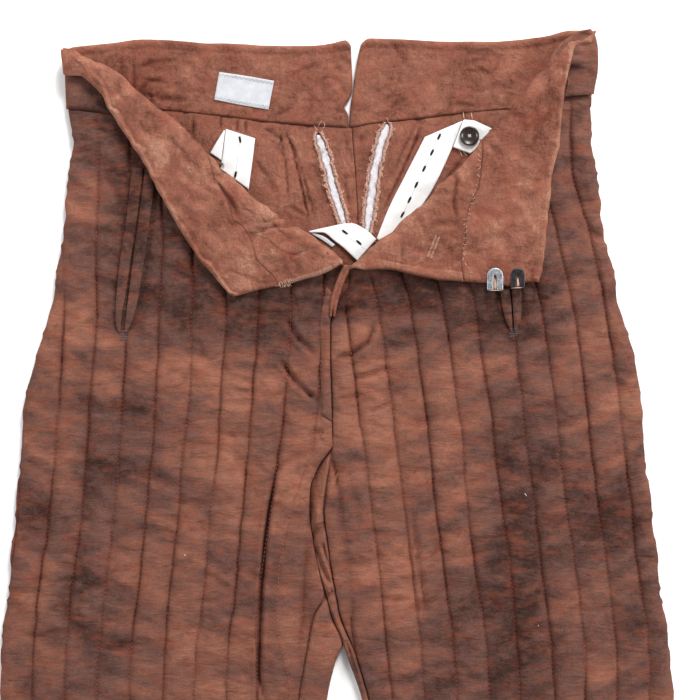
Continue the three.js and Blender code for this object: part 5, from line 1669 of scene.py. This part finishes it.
# ---- pockets, fly tape and fly facing ----
# the pockets' welts down their length: x, y and width
WELTS = {
    ("left", "outer"): [(-186.5, 384, 10.5), (-191, 346, 9.5), (-196.5, 309, 9.5), (-201.5, 270, 8),
                        (-204, 246, 5), (-203, 236, 2)],
    ("left", "inner"): [(-174.5, 384, 10.5), (-179.5, 346, 10), (-184.5, 309, 10), (-190, 270, 9),
                        (-194.5, 246, 6), (-197.5, 236, 2)],
    ("right", "outer"): [(143, 286, 8.4), (144.5, 268, 8.4), (146.6, 252, 7), (149.5, 238, 2)],
    ("right", "inner"): [(153.4, 286, 8.4), (154.6, 268, 8.4), (155, 252, 7), (153.5, 238, 2)]}


def welt(side, name, count=120):
    """One welt of a pocket, a long padded fold on the pressed mouth, thinning to its foot."""
    base = INSIDE + STITCHED + 2 * GAP
    x, y, wide = np.array(WELTS[side, name], float).T
    first, second = np.stack([x - wide / 2, y], 1), np.stack([x + wide / 2, y], 1)
    tone = np.linspace(0.02, 0.4, count)[:, None] + 0.1 * noise(np.linspace(0, 9, count)[:, None], 0.5, 205)
    thick = 2.8 * (0.3 + 0.7 * ease(0, 0.22, np.linspace(1, 0, count)))[:, None]
    piece = strap(f"pocket_welt_cloth_{side}_{name}", first, second, base, thick, CLOTH, count, 13, 1.0, 203,
                  4.4, tone)
    trim(piece, [f"pocket_welt_{side}_{name}"])


def bar_tack(x, y, half=4.6):
    """Six stitches across the foot of a pocket."""
    return [((x - half, y - k), (x + half - 0.2 * k, y - k + 0.8)) for k in (0, 1.5, 2.7, 4.4, 6.1, 7.2)]


for side in SIDES:
    welt(side, "outer")
    welt(side, "inner")
tacks = bar_tack(-199, 236) + bar_tack(152, 239)
trim(short_threads("pocket_bar_tacks", ON_FRONT, tacks, TACK_THREAD, 0.3, 0.4))
trim(short_threads("stray_white_threads", ON_FRONT, [
    ((-144.6, 36.4), (-143.2, 35)), ((161.4, 91.6), (163.6, 88.2)), ((173.6, -27), (174.2, -28.4))],
    WADDING, 0.3, 0.32))


def border_tape(name, grid, dye_and_shade, material, node):
    """A tape down a border, lying on the grid of points it is given: higher along its middle."""
    cols = grid.shape[1]
    run = np.linalg.norm(np.diff(grid[0], axis=0), axis=1).sum()
    ends = np.minimum(np.arange(cols), np.arange(cols)[::-1]) * run / cols
    rim = np.array([0.05, 0.55, 0.9, 1, 1, 0.75, 0.2])[:, None] * rounded(ends, 2)[None, :]
    outer = grid + stacked(0, 0, GAP + TRIM * rim)
    lining = grid + stacked(0, 0, GAP + 0 * rim)
    trim(panel(name, outer, lining, [material], (dye_and_shade, dye_and_shade), (0 * dye_and_shade, 0 * dye_and_shade)), [node])


def fly_tapes():
    """The tape down the left side of the fly, and the facing along the turned-out right edge."""
    left, right = FRONT_SHAPES["left"], FRONT_SHAPES["right"]
    y = left["y"][-1]
    grid = left["outer"][-7:, (y > 154) & (y < 272)]
    dye_and_shade = 0.62 + 0.1 * noise(grid[..., 0] / 10, grid[..., 1] / 12, 211)
    border_tape("fly_tape", grid, dye_and_shade, CLOTH, "fly_tape_left")
    grid = right["lining"][-7:, right["d"][-1] > FOLD_RADIUS]
    dye_and_shade = 0.6 + 0.12 * noise(grid[..., 0] / 12, grid[..., 1] / 10, 213)
    border_tape("fly_facing", grid, dye_and_shade, LINING, "fly_facing_right")


fly_tapes()

# the rolled edge of the right fly below its turned-out corner, in two ridges
FLY_ROLL = table("x y half", [(2.5, 296.5, 1.9), (-2.8, 285, 2.0), (-7.2, 272.4, 1.9), (-10.2, 260, 1.6),
                              (-11.2, 250, 0.9)])


def fly_roll(name, shift, thick, seed, dye_and_shade):
    """One ridge of the rolled edge, beside its middle line."""
    x, y, half = FLY_ROLL["x"] + shift, FLY_ROLL["y"], FLY_ROLL["half"]
    edges = np.stack([x - half, y], 1), np.stack([x + half, y], 1)
    ridge = strap("fly_edge_roll_" + name, *edges, 9.6, thick, LINING, 60, 11, 0.7, seed, 1.8, dye_and_shade)
    trim(ridge)


fly_roll("inner", -1.7, 2.6, 225, 0.5)
fly_roll("outer", 1.5, 2.1, 226, 0.44)


# ---- camera, light and floor ----
FLOOR = 4000              # half the width of the floor
VIEW_CENTRE = (4.5, 220.2)     # middle of the view, on the garment
VIEW_WIDTH = 630.0             # what the view spans at the cloth
VIEW_LEVEL = 9.0               # height at which it spans that
VIEW_DISTANCE = 1600.0


def soft_light(name, place, size, power, target=(0, 0.2, 0)):
    """A square lamp facing a point on the garment."""
    lamp = bpy.data.lights.new(name, "AREA")
    lamp.size = size
    lamp.energy = power / DIMMED
    light = bpy.data.objects.new(name, lamp)
    light.location = place
    light.rotation_euler = (Vector(target) - Vector(place)).to_track_quat("-Z", "Y").to_euler()
    bpy.context.scene.collection.objects.link(light)


def stage():
    """A pale floor just under the garment, a lamp beyond the waist and one on each side, and an
    even white sky."""
    pale = plain_cotton("pale_floor", (0.96, 0.96, 0.96, 1), (0.98, 0.98, 0.98, 1), 400)
    corners = [(-FLOOR, -FLOOR, -0.6), (FLOOR, -FLOOR, -0.6), (FLOOR, FLOOR, -0.6), (-FLOOR, FLOOR, -0.6)]
    new_mesh("floor", corners, [(0, 1, 2, 3)], [pale])
    soft_light("key_light", (0.9, 3.1, 2.1), 1.2, 136)
    soft_light("left_light", (-2.9, 0.5, 1.6), 1.1, 46)
    soft_light("right_light", (2.9, 0.7, 1.6), 1.1, 56)
    world = bpy.data.worlds.new("studio")
    bpy.context.scene.world = world
    world.use_nodes = True
    world.node_tree.nodes["Background"].inputs[0].default_value = (1, 1, 1, 1)
    world.node_tree.nodes["Background"].inputs[1].default_value = 0.28 / DIMMED
    bpy.context.scene.view_settings.view_transform = "Standard"


def camera():
    """A camera straight above the garment, its lens giving the view's width at its distance."""
    data = bpy.data.cameras.new("camera")
    data.sensor_width = 36
    data.lens = data.sensor_width * VIEW_DISTANCE / VIEW_WIDTH
    eye = bpy.data.objects.new("camera", data)
    eye.location = (VIEW_CENTRE[0] * MM, VIEW_CENTRE[1] * MM, (VIEW_LEVEL + VIEW_DISTANCE) * MM)
    bpy.context.scene.collection.objects.link(eye)
    bpy.context.scene.camera = eye


stage()
camera()
